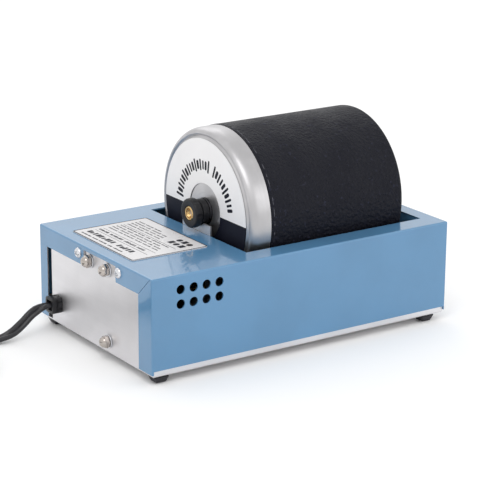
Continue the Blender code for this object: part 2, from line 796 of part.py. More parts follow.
def barrel_shell():
    """The rubber barrel, closed at +X, with a narrower neck and mouth at -X."""
    edge = 0.0032
    far = BARREL_END_X - BARREL_START_X
    neck = NECK_X - BARREL_START_X
    inner_radius = BARREL_RADIUS - BARREL_WALL
    rounded = [
        (BARREL_RADIUS - edge + edge * math.sin(a), far - edge + edge * math.cos(a))
        for a in (math.radians(d) for d in (0, 30, 60, 90))
    ]
    profile = [(0, far), *rounded, (BARREL_RADIUS, 0), (NECK_RADIUS, 0)]
    profile += [(NECK_RADIUS, neck + NECK_CHAMFER), (NECK_RADIUS - NECK_CHAMFER, neck)]
    profile += [(MOUTH_RADIUS, neck), (MOUTH_RADIUS, neck + 0.011), (inner_radius, neck + 0.016)]
    profile += [(inner_radius, far - 0.010), (0, far - 0.010)]
    turned("barrel_shell", profile, (BARREL_START_X, BARREL_Y, BARREL_Z), "barrel_rubber", steps=48)


def lid_pieces():
    """Inner lid with its stud, the spun outer lid, its label, the washer, the knob and its insert."""
    stud_hole = STUD_RADIUS + GAP
    inner_x = NECK_X + 0.0022
    ring("inner_lid", stud_hole, MOUTH_RADIUS - 0.0004, (inner_x, BARREL_Y, BARREL_Z), 0.002, "steel", 40)
    stud_tip = KNOB_FRONT_X + 0.0022
    head = inner_x + 0.002 + GAP - stud_tip
    turned(
        "lid_stud",
        [(0, head + 0.002), (0.008, head + 0.002), (0.008, head), (STUD_RADIUS, head), (STUD_RADIUS, 0), (0, 0)],
        (stud_tip, BARREL_Y, BARREL_Z),
        "steel",
        steps=24,
    )
    skirt = BARREL_START_X - GAP - LID_FACE_X
    outside = [
        (stud_hole, 0),
        (0.0508, 0),
        (0.0520, 0.0012),
        (0.0540, 0.0003),
        (0.0565, 0.0024),
        (LID_RADIUS, 0.0060),
        (LID_RADIUS, skirt),
    ]
    inside = [
        (LID_RADIUS - LID_WALL, skirt),
        (LID_RADIUS - LID_WALL, 0.0063),
        (0.0555, 0.0033),
        (0.0539, 0.0017),
        (0.0520, 0.0023),
        (0.0505, LID_WALL),
        (stud_hole, LID_WALL),
    ]
    turned(
        "outer_lid",
        list(reversed(outside + inside)),
        (LID_FACE_X, BARREL_Y, BARREL_Z),
        "spun_aluminium",
        steps=48,
        closed=True,
    )
    film = 0.0003
    label_x = LID_FACE_X - GAP - film
    ring("lid_label", LABEL_HOLE_RADIUS, LABEL_RADIUS, (label_x, BARREL_Y, BARREL_Z), film, "label_film", 40)
    washer_x = LID_FACE_X - GAP - 0.0012
    ring("lid_washer", stud_hole, WASHER_RADIUS, (washer_x, BARREL_Y, BARREL_Z), 0.0012, "steel", 28)
    base = washer_x - GAP - KNOB_FRONT_X
    bore = INSERT_RADIUS + GAP
    knob = turned(
        "lid_knob",
        [
            (bore, base),
            (HUB_RADIUS, base),
            (HUB_RADIUS, 0.0062),
            (KNOB_RADIUS - 0.0006, 0.0054),
            (KNOB_RADIUS, 0.0048),
            (KNOB_RADIUS, 0.0014),
            (KNOB_RADIUS - 0.0014, 0),
            (bore, 0),
        ],
        (KNOB_FRONT_X, BARREL_Y, BARREL_Z),
        "black_plastic",
        steps=36,
        closed=True,
    )
    for i in range(6):
        angle = i * math.tau / 6
        reach = KNOB_RADIUS + 0.0032
        flute = rod(
            f"knob_flute_{i}",
            0.0036,
            (
                KNOB_FRONT_X - 0.002,
                BARREL_Y + reach * math.cos(angle),
                BARREL_Z + reach * math.sin(angle),
            ),
            0.012,
            steps=16,
        )
        cut(knob, flute)
    ring("knob_insert", stud_hole, INSERT_RADIUS, (KNOB_FRONT_X, BARREL_Y, BARREL_Z), 0.0110, "brass", 24)


def cord_gland():
    """The strain relief: a square head outside the panel and a round neck through it."""
    half = GLAND_SIZE / 2
    head = box(
        "cord_gland",
        (GLAND_FACE_X, GLAND_Y - half, GLAND_Z - half),
        (LEFT_PANEL_X - GAP, GLAND_Y + half, GLAND_Z + half),
        "black_plastic",
        bevel=0.0012,
    )
    join(head, rod("gland_neck", 0.0055, (LEFT_PANEL_X - 0.002, GLAND_Y, GLAND_Z), 0.0086, steps=20))


def power_cord():
    """The free lead, the stored coil, the tail and the inner lead to the motor."""
    radius = CORD_WIDTH / 2
    spacing = CORD_WIDTH
    tube("power_cord", [LEAD_START, *smooth_route(LEAD_ROUTE, spacing)], radius, "cord_vinyl")
    tube("cord_tail", smooth_route(TAIL_ROUTE, spacing * 0.9), radius, "cord_vinyl")
    inner_route = smooth_route(INNER_LEAD_ROUTE, spacing * 0.8)
    tube("inner_lead", [INNER_LEAD_START, *inner_route], 0.0026, "cord_vinyl")
    chamfer = 0.0015
    inner = COIL_MIDDLE_RADIUS - COIL_HALF_BAND
    outer = COIL_MIDDLE_RADIUS + COIL_HALF_BAND
    turned(
        "cord_coil",
        [
            (inner + chamfer, COIL_HEIGHT),
            (outer - chamfer, COIL_HEIGHT),
            (outer, COIL_HEIGHT - chamfer),
            (outer, 0.0002 + chamfer),
            (outer - chamfer, 0.0002),
            (inner + chamfer, 0.0002),
            (inner, 0.0002 + chamfer),
            (inner, COIL_HEIGHT - chamfer),
        ],
        (*COIL_CENTRE, 0),
        "cord_vinyl",
        steps=40,
        along="Z",
        closed=True,
    )


def plug():
    """The two-pin plug at the end of the tail, lying flat with its blades towards -Y."""
    front = PLUG_REAR_Y - GAP - PLUG_LENGTH
    body = box(
        "plug_body",
        (PLUG_X - 0.012, front, 0.0003),
        (PLUG_X + 0.012, PLUG_REAR_Y - GAP, 0.0155),
        "black_plastic",
        bevel=0.003,
    )
    for name, side in (("left", -1), ("right", 1)):
        x = PLUG_X + side * 0.00635
        low = Vector((x - 0.00075, front - 0.0159, PLUG_Z - 0.00315))
        high = Vector((x + 0.00075, front + 0.004, PLUG_Z + 0.00315))
        slack = Vector((GAP, 0, GAP))
        socket = box(f"plug_socket_{name}", low - slack, high + slack + Vector((0, GAP, 0)))
        cut(body, socket)
        box(f"plug_blade_{name}", low, high, "nickel", bevel=0.0004)


clear_scene()
parts = new_collection("rock_tumbler")
cutters = new_collection("cutters")
housing_cover()
chassis_tray()
inner_bulkhead()
rubber_feet()
cover_screws()
rating_label()
motor_stator()
motor_coil()
motor_brackets()
motor_rotor()
motor_fixings()
cord_clip()
rollers()
drive_belt()
barrel_shell()
lid_pieces()
cord_gland()
power_cord()
plug()
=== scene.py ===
"""A rotary rock tumbler: a rubber barrel on rollers over a small motor in a blue case.

Each operator makes one piece, or one group of like pieces, in metres and in the object's own
frame: +X runs from the motor end to the barrel end, -Y is the vented side and the feet stand
on Z = 0.
"""

import math

import bmesh
import bpy
from mathutils import Matrix, Vector


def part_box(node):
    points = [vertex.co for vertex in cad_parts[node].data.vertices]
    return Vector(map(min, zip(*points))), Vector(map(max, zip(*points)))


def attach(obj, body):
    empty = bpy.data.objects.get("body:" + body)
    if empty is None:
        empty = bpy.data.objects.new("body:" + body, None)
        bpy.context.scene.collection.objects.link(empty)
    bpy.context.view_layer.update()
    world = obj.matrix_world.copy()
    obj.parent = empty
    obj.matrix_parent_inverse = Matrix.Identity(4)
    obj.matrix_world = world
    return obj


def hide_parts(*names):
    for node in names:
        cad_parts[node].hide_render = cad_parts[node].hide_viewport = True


bl_info = {
    "name": "Rock tumbler",
    "version": (1, 0, 0),
    "blender": (4, 5, 0),
    "location": "View3D > Sidebar > Tumbler",
    "description": "Builds a rotary rock tumbler with its cord, finishes and a plain studio",
    "category": "Add Mesh",
}

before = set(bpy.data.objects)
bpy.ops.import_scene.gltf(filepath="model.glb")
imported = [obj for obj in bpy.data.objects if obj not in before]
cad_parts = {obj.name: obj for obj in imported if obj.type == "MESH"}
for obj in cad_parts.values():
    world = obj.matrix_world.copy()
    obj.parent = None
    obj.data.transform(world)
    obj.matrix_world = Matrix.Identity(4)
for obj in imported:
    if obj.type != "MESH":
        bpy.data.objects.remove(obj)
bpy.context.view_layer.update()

COVER_LOW, COVER_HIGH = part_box("housing_cover")
TRAY_LOW, TRAY_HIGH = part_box("chassis_tray")
LID_LOW, LID_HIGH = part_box("outer_lid")
SHELL_LOW, SHELL_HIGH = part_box("barrel_shell")
KNOB_LOW, KNOB_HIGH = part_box("lid_knob")
GLAND_LOW, GLAND_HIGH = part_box("cord_gland")
COIL_LOW, COIL_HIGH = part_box("cord_coil")
PLUG_LOW, PLUG_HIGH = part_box("plug_body")
TOP = COVER_HIGH.z
AXIS = (SHELL_LOW + SHELL_HIGH) / 2
SPIN = (AXIS.y, AXIS.z)
RADIUS = (SHELL_HIGH.z - SHELL_LOW.z) / 2

SHEET = 0.001
TRAY_SHEET = 0.0012
ROLLER_Y = (-0.0345, 0.0375)
ROLLER_Z = 0.03207
SHAFT_RADIUS = 0.003175
SLEEVE_RADIUS = 0.0065
SHAFT_HOLE = 0.0053

FINISHES = {}


# Selection, modifiers and placing


def enter_edit():
    bpy.ops.object.mode_set(mode="EDIT")


def leave_edit():
    bpy.ops.object.mode_set(mode="OBJECT")


def start_fresh():
    """Leaves edit mode and deselects everything."""
    if bpy.context.object and bpy.context.object.mode == "EDIT":
        leave_edit()
    bpy.ops.object.select_all(action="DESELECT")


def hold(obj):
    """Makes obj the only selected object and the active one."""
    start_fresh()
    obj.select_set(True)
    bpy.context.view_layer.objects.active = obj


def named(name):
    """Names the new active object and its mesh, and applies its place."""
    made = bpy.context.object
    bpy.ops.object.transform_apply(location=True, rotation=True, scale=True)
    made.name = name
    made.data.name = name
    return made


def pick(obj, kind, test):
    """In edit mode, selects the vertices, edges or faces that pass the test."""
    bpy.ops.mesh.select_mode(type=kind)
    bpy.ops.mesh.select_all(action="DESELECT")
    shape = bmesh.from_edit_mesh(obj.data)
    shape.normal_update()
    items = {"VERT": shape.verts, "EDGE": shape.edges, "FACE": shape.faces}[kind]
    for item in items:
        if test(item):
            item.select = True
    shape.select_flush_mode()
    bmesh.update_edit_mesh(obj.data)


def along(axis):
    """A test for the edges that run along an axis, given by its number."""
    return lambda edge: abs(edge.verts[0].co[axis] - edge.verts[1].co[axis]) > 1e-5


def round_off(obj, test, offset, segments):
    """Rounds the edges of obj that pass the test."""
    enter_edit()
    pick(obj, "EDGE", test)
    bpy.ops.mesh.bevel(offset=offset, segments=segments, affect="EDGES")
    leave_edit()
    return obj


def remove_faces(obj, test):
    """Deletes the faces of obj that pass the test."""
    enter_edit()
    pick(obj, "FACE", test)
    bpy.ops.mesh.delete(type="FACE")
    leave_edit()


def sink_face(obj, test, inset, move):
    """Insets the faces that pass the test and pushes what is left of them in."""
    enter_edit()
    pick(obj, "FACE", test)
    bpy.ops.mesh.inset(thickness=inset)
    bpy.ops.mesh.extrude_region_move(TRANSFORM_OT_translate={"value": move})
    leave_edit()


def finish_with(obj, kind, **settings):
    """Adds one modifier to obj and applies it."""
    hold(obj)
    modifier = obj.modifiers.new(kind.title(), kind)
    for key, value in settings.items():
        setattr(modifier, key, value)
    bpy.ops.object.modifier_apply(modifier=modifier.name)
    return obj


def soften(obj, width, segments=2, angle=40):
    """Rounds the sharp edges of obj a little."""
    return finish_with(
        obj,
        "BEVEL",
        width=width,
        segments=segments,
        limit_method="ANGLE",
        angle_limit=math.radians(angle),
        use_clamp_overlap=True,
        harden_normals=False,
    )


def combine(obj, operation, *others):
    """Cuts the others out of obj or adds them to it, and removes them."""
    for other in others:
        finish_with(obj, "BOOLEAN", operation=operation, solver="EXACT", object=other)
        bpy.data.objects.remove(other, do_unlink=True)
    return obj


def cut(obj, *cutters):
    return combine(obj, "DIFFERENCE", *cutters)


def smooth(obj, angle=32):
    hold(obj)
    bpy.ops.object.shade_smooth_by_angle(angle=math.radians(angle))
    return obj


def even_faces(obj):
    """Lets the large flat faces keep flat shading beside their small rounded edges."""
    smooth(obj, 40)
    return finish_with(obj, "WEIGHTED_NORMAL", keep_sharp=True, weight=50)


def joined(name, *pieces):
    """Joins finished pieces into the first of them."""
    hold(pieces[0])
    for piece in pieces[1:]:
        piece.select_set(True)
    bpy.ops.object.join()
    return named(name)


def copy_of(obj, name, offset, turn=None):
    """A copy of obj with its own mesh, turned and moved in its mesh."""
    hold(obj)
    bpy.ops.object.duplicate()
    made = bpy.context.object
    made.name = name
    made.data.name = name
    if turn is not None:
        made.data.transform(turn)
    made.data.transform(Matrix.Translation(offset))
    return made


def coat(mesh, finish):
    """Gives a mesh one finish."""
    mesh.materials.clear()
    mesh.materials.append(FINISHES[finish])


def coat_some(obj, finish, test):
    """Gives obj a second finish on the faces that pass the test."""
    obj.data.materials.append(FINISHES[finish])
    for face in obj.data.polygons:
        if test(face):
            face.material_index = 1


def settle(obj, body, slot, finish, *nodes):
    """Puts obj on its body, in its finish, in place of its CAD nodes. Its slot is not used."""
    hold(obj)
    bpy.ops.object.transform_apply(location=True, rotation=True, scale=True)
    if finish:
        coat(obj.data, finish)
    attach(obj, body)
    if nodes:
        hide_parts(*nodes)
    return obj


def paint_nodes(finish, *nodes):
    """Gives carried-over CAD nodes their finish."""
    for node in nodes:
        coat(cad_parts[node].data, finish)


def centre_of(node):
    low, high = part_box(node)
    return (low + high) / 2


# Shapes


def block(name, low, high):
    """A box between two corners."""
    low, high = Vector(low), Vector(high)
    start_fresh()
    bpy.ops.mesh.primitive_cube_add(size=1, location=(low + high) / 2, scale=high - low)
    return named(name)


def slab(name, low, high, corner):
    """A thin sheet with rounded corners, lying flat."""
    return round_off(block(name, low, high), along(2), corner, 6)


def folded_box(name, low, high, folds, radius, open_side, thickness):
    """A box of folded sheet: rounded folds, and no face on its upper (1) or lower (-1) side."""
    shell = round_off(block(name, low, high), folds, radius, 5)
    remove_faces(shell, lambda f: f.normal.z * open_side > 0.9)
    return finish_with(shell, "SOLIDIFY", thickness=thickness, offset=-1)


def rod(name, radius, start, end, centre, axis="X", sides=48):
    """A plain cylinder from start to end on one axis, used as a cutter or a start."""
    middle, length = (start + end) / 2, abs(end - start)
    turn = {"X": (0, math.pi / 2, 0), "Y": (math.pi / 2, 0, 0), "Z": (0, 0, 0)}[axis]
    place = list(centre)
    place.insert("XYZ".index(axis), middle)
    start_fresh()
    bpy.ops.mesh.primitive_cylinder_add(
        vertices=sides, radius=radius, depth=length, location=place, rotation=turn
    )
    return named(name)


def turned(name, profile, centre, sides, closed=True):
    """A piece turned about X: a ring carried along a profile of (radius, x) points."""
    first_radius, first_x = radius, x = profile[0]
    start_fresh()
    bpy.ops.mesh.primitive_circle_add(
        vertices=sides, radius=radius, location=(x, *centre), rotation=(0, math.pi / 2, 0)
    )
    made = named(name)
    steps = [*profile[1:], profile[0]] if closed else profile[1:]
    enter_edit()
    bpy.ops.mesh.select_all(action="SELECT")
    for next_radius, next_x in steps:
        bpy.ops.mesh.extrude_edges_move(TRANSFORM_OT_translate={"value": (next_x - x, 0, 0)})
        share = next_radius / radius
        if abs(share - 1) > 1e-9:
            bpy.ops.transform.resize(value=(1, share, share), center_override=(next_x, *centre))
        radius, x = next_radius, next_x
    if not closed:
        bpy.ops.mesh.edge_face_add()
        pick(
            made,
            "VERT",
            lambda v: abs(v.co.x - first_x) < 1e-6
            and abs(math.hypot(v.co.y - centre[0], v.co.z - centre[1]) - first_radius) < 1e-5,
        )
        bpy.ops.mesh.edge_face_add()
    tidy_mesh(1e-7)
    return made


def tidy_mesh(distance):
    """In edit mode, merges doubled points, turns every face outward and leaves edit mode."""
    bpy.ops.mesh.select_all(action="SELECT")
    bpy.ops.mesh.remove_doubles(threshold=distance)
    bpy.ops.mesh.normals_make_consistent(inside=False)
    leave_edit()


def turned_piece(name, profile, centre, sides, angle, *place, closed=True):
    """A turned piece, smoothed and settled; place holds its body, slot, finish and CAD node."""
    return settle(smooth(turned(name, profile, centre, sides, closed), angle), *place)


def flat_washer(name, hole, rim, centre, sides, *place):
    """A washer in the CAD node's box, its outer corner rounded by rim on the side to -X."""
    low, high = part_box(place[-1])
    edge = (high.y - low.y) / 2
    profile = [(hole, low.x), (edge - rim, low.x), (edge, low.x + rim)]
    profile += [(edge, high.x), (hole, high.x)]
    turned_piece(name, profile, centre, sides, 32, *place)


def arc(radius, centre, start, end, count):
    """Profile points on a circular arc about a centre (radius, x)."""
    points = []
    for i in range(count + 1):
        angle = math.radians(start + (end - start) * i / count)
        points.append((centre[0] + radius * math.cos(angle), centre[1] + radius * math.sin(angle)))
    return points


# Shader node groups


def new_group(name, outputs, **inputs):
    """A node group with a Vector input, the other inputs' defaults and its outputs' names."""
    group = bpy.data.node_groups.new(name, "ShaderNodeTree")
    sockets = group.interface.new_socket
    sockets(name="Vector", in_out="INPUT", socket_type="NodeSocketVector")
    for label, value in inputs.items():
        kind = "NodeSocketVector" if isinstance(value, tuple) else "NodeSocketFloat"
        sockets(name=label, in_out="INPUT", socket_type=kind).default_value = value
    for label in outputs:
        sockets(name=label, in_out="OUTPUT", socket_type="NodeSocketFloat")
    return group, group.nodes.new("NodeGroupInput"), group.nodes.new("NodeGroupOutput")


def set_sockets(node, values):
    """Sets a node's sockets by name, with an underscore for each space."""
    for key, value in values.items():
        node.inputs[key.replace("_", " ")].default_value = value


def add_node(tree, kind, operation=None, **values):
    """A new shader node, with its operation and some of its sockets set."""
    node = tree.nodes.new("ShaderNode" + kind)
    if operation:
        node.operation = operation
    set_sockets(node, values)
    return node


def wire(tree, *links):
    """Links nodes, each link given as (node, output, node, input)."""
    for start, output, end, entry in links:
        tree.links.new(start.outputs[output], end.inputs[entry])


def mottle_group():
    """Soft uneven patches: a mask from 0 to 1 that drifts over the surface."""
    group, source, sink = new_group("Mottle", ["Mask"], Scale=40.0, Low=0.35, High=0.65)
    noise = add_node(group, "TexNoise", Detail=4.0)
    ranged = add_node(group, "MapRange")
    ranged.interpolation_type = "SMOOTHSTEP"
    wire(
        group,
        (source, "Vector", noise, "Vector"),
        (source, "Scale", noise, "Scale"),
        (noise, "Fac", ranged, "Value"),
        (source, "Low", ranged, "From Min"),
        (source, "High", ranged, "From Max"),
        (ranged, "Result", sink, "Mask"),
    )


def grain_group():
    """Fine lines drawn out along one direction, as brushing or drawing leaves in metal."""
    group, source, sink = new_group(
        "Drawn grain", ["Mask", "Streaks"], Stretch=(1.0, 1.0, 1.0), Scale=1000.0
    )
    stretched = add_node(group, "VectorMath", "MULTIPLY")
    fine = add_node(group, "TexNoise", Detail=5.0, Roughness=0.65)
    broad = add_node(group, "TexNoise", Detail=2.0)
    slower = add_node(group, "Math", "MULTIPLY")
    slower.inputs[1].default_value = 0.12
    wire(
        group,
        (source, "Vector", stretched, 0),
        (source, "Stretch", stretched, 1),
        (stretched, "Vector", fine, "Vector"),
        (stretched, "Vector", broad, "Vector"),
        (source, "Scale", fine, "Scale"),
        (source, "Scale", slower, 0),
        (slower, "Value", broad, "Scale"),
        (fine, "Fac", sink, "Mask"),
        (broad, "Fac", sink, "Streaks"),
    )


def turning_group():
    """Fine rings about an axis along X, as a lathe leaves them."""
    group, source, sink = new_group("Turned rings", ["Rings"], Scale=2500.0)
    flat = add_node(group, "VectorMath", "MULTIPLY")
    flat.inputs[1].default_value = (0.0, 1.0, 1.0)
    length = add_node(group, "VectorMath", "LENGTH")
    split = add_node(group, "SeparateXYZ")
    paired = add_node(group, "CombineXYZ")
    noise = add_node(group, "TexNoise", Detail=3.0)
    wire(
        group,
        (source, "Vector", flat, 0),
        (flat, "Vector", length, 0),
        (source, "Vector", split, "Vector"),
        (length, "Value", paired, "X"),
        (split, "X", paired, "Y"),
        (paired, "Vector", noise, "Vector"),
        (source, "Scale", noise, "Scale"),
        (noise, "Fac", sink, "Rings"),
    )


def pebble_group():
    """A fine pebbled skin with scattered paler grains, as moulded rubber has."""
    group, source, sink = new_group("Pebbled skin", ["Height", "Specks"], Scale=900.0)
    cells = add_node(group, "TexVoronoi")
    cells.feature = "SMOOTH_F1"
    cells.inputs["Smoothness"].default_value = 0.6
    noise = add_node(group, "TexNoise", Detail=3.0)
    both = add_node(group, "Math", "MULTIPLY_ADD")
    both.inputs[1].default_value = -0.7
    specks = add_node(group, "MapRange", From_Min=0.60, From_Max=0.78)
    wire(
        group,
        (source, "Vector", cells, "Vector"),
        (source, "Scale", cells, "Scale"),
        (source, "Vector", noise, "Vector"),
        (source, "Scale", noise, "Scale"),
        (cells, "Distance", both, 0),
        (noise, "Fac", both, 2),
        (both, "Value", sink, "Height"),
        (noise, "Fac", specks, "Value"),
        (specks, "Result", sink, "Specks"),
    )


# Finishes


def lighter(colour, by):
    return tuple(min(1.0, c * by) for c in colour)


class Finish:
    """A material under way: its Principled shader, object coordinates and wiring helpers."""

    def __init__(self, name, colour, roughness, metallic=0.0, centre=(0, 0, 0), **more):
        self.material = bpy.data.materials.new(name)
        self.material.use_nodes = True
        self.material.diffuse_color = (*colour, 1.0)
        self.tree = self.material.node_tree
        self.link = self.tree.links.new
        self.shader = self.tree.nodes["Principled BSDF"]
        self.shader.inputs["Base Color"].default_value = (*colour, 1.0)
        self.shader.inputs["Roughness"].default_value = roughness
        self.shader.inputs["Metallic"].default_value = metallic
        set_sockets(self.shader, more)
        coordinates = add_node(self.tree, "TexCoord")
        mapping = add_node(self.tree, "Mapping", Location=[-c for c in centre])
        self.link(coordinates.outputs["Object"], mapping.inputs["Vector"])
        self.vector = mapping.outputs["Vector"]
        self.last_bump = None

    def group(self, name, **values):
        """One of the node groups, on this material's coordinates."""
        node = self.tree.nodes.new("ShaderNodeGroup")
        node.node_tree = bpy.data.node_groups[name]
        self.link(self.vector, node.inputs["Vector"])
        set_sockets(node, values)
        return node.outputs

    def mottle(self, scale, low=0.35, high=0.65):
        return self.group("Mottle", Scale=scale, Low=low, High=high)["Mask"]

    def bands(self, direction, scale, distortion):
        """Even bands across one axis."""
        wave = add_node(self.tree, "TexWave", Scale=scale, Distortion=distortion)
        wave.bands_direction = direction
        self.link(self.vector, wave.inputs["Vector"])
        return wave.outputs["Fac"]

    def blend_colour(self, mask, first, second):
        """Base colour between two colours by a mask; either may come from a socket."""
        mix = add_node(self.tree, "Mix")
        mix.data_type = "RGBA"
        self.link(mask, mix.inputs["Factor"])
        for socket, value in ((mix.inputs[6], first), (mix.inputs[7], second)):
            if isinstance(value, bpy.types.NodeSocket):
                self.link(value, socket)
            else:
                socket.default_value = (*value, 1.0)
        self.link(mix.outputs[2], self.shader.inputs["Base Color"])
        return mix.outputs[2]

    def vary(self, mask, colour, dark, light):
        """Base colour between a darker and a lighter share of one colour."""
        return self.blend_colour(mask, lighter(colour, dark), lighter(colour, light))

    def spread(self, mask, low, high):
        """Roughness between low and high by a mask."""
        ranged = add_node(self.tree, "MapRange", To_Min=low, To_Max=high)
        self.link(mask, ranged.inputs["Value"])
        self.link(ranged.outputs["Result"], self.shader.inputs["Roughness"])

    def bump(self, height, strength, distance):
        """Adds a layer of relief."""
        bump = add_node(self.tree, "Bump", Strength=strength, Distance=distance)
        self.link(height, bump.inputs["Height"])
        if self.last_bump:
            self.link(self.last_bump, bump.inputs["Normal"])
        self.last_bump = bump.outputs["Normal"]
        self.link(self.last_bump, self.shader.inputs["Normal"])

    def between(self, axis, low, high, soft):
        """A mask that is 1 where a coordinate lies between low and high."""
        split = add_node(self.tree, "SeparateXYZ")
        self.link(self.vector, split.inputs["Vector"])
        masks = []
        for start, end in ((low - soft, low + soft), (high + soft, high - soft)):
            ranged = add_node(self.tree, "MapRange", From_Min=start, From_Max=end)
            self.link(split.outputs[axis], ranged.inputs["Value"])
            masks.append(ranged.outputs["Result"])
        return self.times(*masks)

    def times(self, first, second):
        product = add_node(self.tree, "Math", "MULTIPLY")
        self.link(first, product.inputs[0])
        self.link(second, product.inputs[1])
        return product.outputs["Value"]


def enamel(blue):
    paint = Finish("Blue enamel", blue, 0.22, Coat_Weight=0.7, Coat_Roughness=0.045, IOR=1.5)
    paint.vary(paint.mottle(22.0, 0.30, 0.70), blue, 0.95, 1.04)
    paint.spread(paint.mottle(650.0, 0.2, 0.8), 0.17, 0.27)
    paint.bump(paint.mottle(190.0, 0.0, 1.0), 0.035, 0.0006)
    return paint.material


def sheet_aluminium(name, colour, stretch, roughness):
    metal = Finish(name, colour, roughness, 1.0, Anisotropic=0.35)
    grain = metal.group("Drawn grain", Stretch=stretch, Scale=1500.0)
    metal.vary(metal.times(grain["Streaks"], metal.mottle(26.0, 0.30, 0.75)), colour, 0.92, 1.10)
    metal.spread(grain["Mask"], roughness - 0.07, roughness + 0.12)
    metal.bump(grain["Mask"], 0.10, 0.00006)
    return metal.material


def spun_aluminium(aluminium):
    satin = lighter(aluminium, 0.68)
    metal = Finish("Spun aluminium", satin, 0.36, 1.0, centre=AXIS, Anisotropic=0.3)
    rings = metal.group("Turned rings", Scale=3000.0)["Rings"]
    broad = metal.group("Turned rings", Scale=420.0)["Rings"]
    metal.vary(metal.times(broad, metal.mottle(60.0, 0.30, 0.75)), satin, 0.90, 1.22)
    metal.spread(rings, 0.30, 0.46)
    metal.bump(rings, 0.12, 0.00005)
    return metal.material


def plain_metal(name, colour, low, high, scale=900.0, stretch=(1.0, 1.0, 1.0)):
    metal = Finish(name, colour, low, 1.0)
    grain = metal.group("Drawn grain", Stretch=stretch, Scale=scale)
    metal.vary(grain["Streaks"], colour, 0.86, 1.1)
    metal.spread(grain["Mask"], low, high)
    metal.bump(grain["Mask"], 0.08, 0.00004)
    return metal.material


def barrel_rubber(black):
    rubber = Finish("Pebbled rubber", black, 0.5, centre=AXIS, Specular_IOR_Level=0.15)
    skin = rubber.group("Pebbled skin", Scale=950.0)
    coarse = rubber.group("Pebbled skin", Scale=430.0)
    patches = rubber.mottle(55.0, 0.32, 0.72)
    base = rubber.vary(rubber.times(coarse["Specks"], patches), black, 1.0, 6.0)
    # The pale, scuffed moulding line just behind the lid
    seam_x, seam_half = LID_HIGH.x - AXIS.x + 0.0026, 0.00016
    band = rubber.between("X", seam_x - seam_half, seam_x + seam_half, 0.0001)
    scuffs = rubber.mottle(260.0, 0.46, 0.62)
    rubber.blend_colour(rubber.times(band, scuffs), base, (0.13, 0.13, 0.15))
    rubber.spread(patches, 0.42, 0.58)
    rubber.bump(skin["Height"], 0.95, 0.00055)
    rubber.bump(coarse["Height"], 0.80, 0.00110)
    return rubber.material


def moulded(name, colour, low, high, scale=1400.0, strength=0.12, shine=0.30):
    """Moulded plastic or plain rubber with a fine spark-eroded skin."""
    plastic = Finish(name, colour, low, Specular_IOR_Level=shine)
    patches = plastic.mottle(120.0, 0.25, 0.75)
    plastic.vary(patches, colour, 0.85, 1.25)
    plastic.spread(patches, low, high)
    plastic.bump(plastic.group("Pebbled skin", Scale=scale)["Height"], strength, 0.00012)
    return plastic.material


def film(name, colour, low=0.30, high=0.42, shine=0.5):
    """Printed label film with a faint satin skin."""
    paper = Finish(
        name, colour, low, Specular_IOR_Level=shine, Coat_Weight=0.2 * shine, Coat_Roughness=0.25
    )
    patches = paper.mottle(70.0, 0.2, 0.8)
    paper.vary(patches, colour, 0.965, 1.0)
    paper.spread(patches, low, high)
    paper.bump(paper.mottle(1500.0, 0.0, 1.0), 0.05, 0.00004)
    return paper.material


def laminations():
    """The stacked steel of the motor's core."""
    steel = Finish("Laminated core", (0.15, 0.15, 0.16), 0.45, 1.0)
    patches = steel.mottle(160.0)
    steel.blend_colour(patches, (0.10, 0.10, 0.11), (0.22, 0.20, 0.19))
    steel.spread(patches, 0.35, 0.6)
    steel.bump(steel.bands("X", 620.0, 0.2), 0.5, 0.0002)
    return steel.material


def winding_tape():
    """The yellow tape round the motor's coil."""
    tape = Finish("Winding tape", (0.60, 0.44, 0.08), 0.35)
    wraps = tape.bands("Z", 60.0, 0.6)
    tape.blend_colour(wraps, (0.50, 0.34, 0.05), (0.68, 0.52, 0.12))
    tape.spread(wraps, 0.25, 0.5)
    tape.bump(wraps, 0.3, 0.0002)
    return tape.material


def make_finishes(colours):
    mottle_group()
    grain_group()
    turning_group()
    pebble_group()
    across, level, upright = (1.0, 0.03, 1.0), (0.03, 1.0, 1.0), (1.0, 1.0, 0.1)
    return {
        "enamel": enamel(colours.case_blue),
        "sheet": sheet_aluminium("Brushed end panel", colours.aluminium, across, 0.42),
        "strip": sheet_aluminium("Brushed tray lip", colours.aluminium, level, 0.30),
        "edge": sheet_aluminium("Bare cut edge", (0.86, 0.86, 0.88), upright, 0.30),
        "spun": spun_aluminium(colours.aluminium),
        "rubber": barrel_rubber(colours.rubber),
        "soft": moulded("Foot rubber", (0.022, 0.021, 0.026), 0.42, 0.62, 900.0, 0.2),
        "plastic": moulded("Black plastic", colours.plastic, 0.26, 0.42),
        "vinyl": moulded("Cord vinyl", (0.014, 0.014, 0.017), 0.24, 0.36, 700.0, 0.10, 0.5),
        "nylon": moulded("White nylon", (0.72, 0.70, 0.64), 0.35, 0.50),
        "steel": plain_metal("Ground steel", (0.56, 0.56, 0.57), 0.20, 0.42),
        "zinc": plain_metal("Zinc plated steel", (0.72, 0.73, 0.76), 0.16, 0.34, 1300.0),
        # Nickel darker and warmer than the metal is: a painted reflection of dark surroundings
        "nickel": plain_metal("Nickel with painted dark reflection", (0.50, 0.455, 0.42), 0.06, 0.15, 700.0),
        "brass": plain_metal("Turned brass", colours.brass, 0.16, 0.34, 1600.0, (0.2, 1.0, 1.0)),
        "oxide": plain_metal("Blackened steel", (0.05, 0.05, 0.055), 0.30, 0.50),
        "paper": film("Label white", (0.86, 0.845, 0.845)),
        "foil": film("Plate silver", (0.66, 0.65, 0.66), 0.24, 0.40),
        "ink": film("Label ink", (0.010, 0.011, 0.020), 0.34, 0.48, 0.09),
        "core": laminations(),
        "tape": winding_tape(),
    }


# What a user would change


def length_setting(name, description, default, least):
    return bpy.props.FloatProperty(
        name=name, description=description, default=default, min=least, unit="LENGTH", precision=5
    )


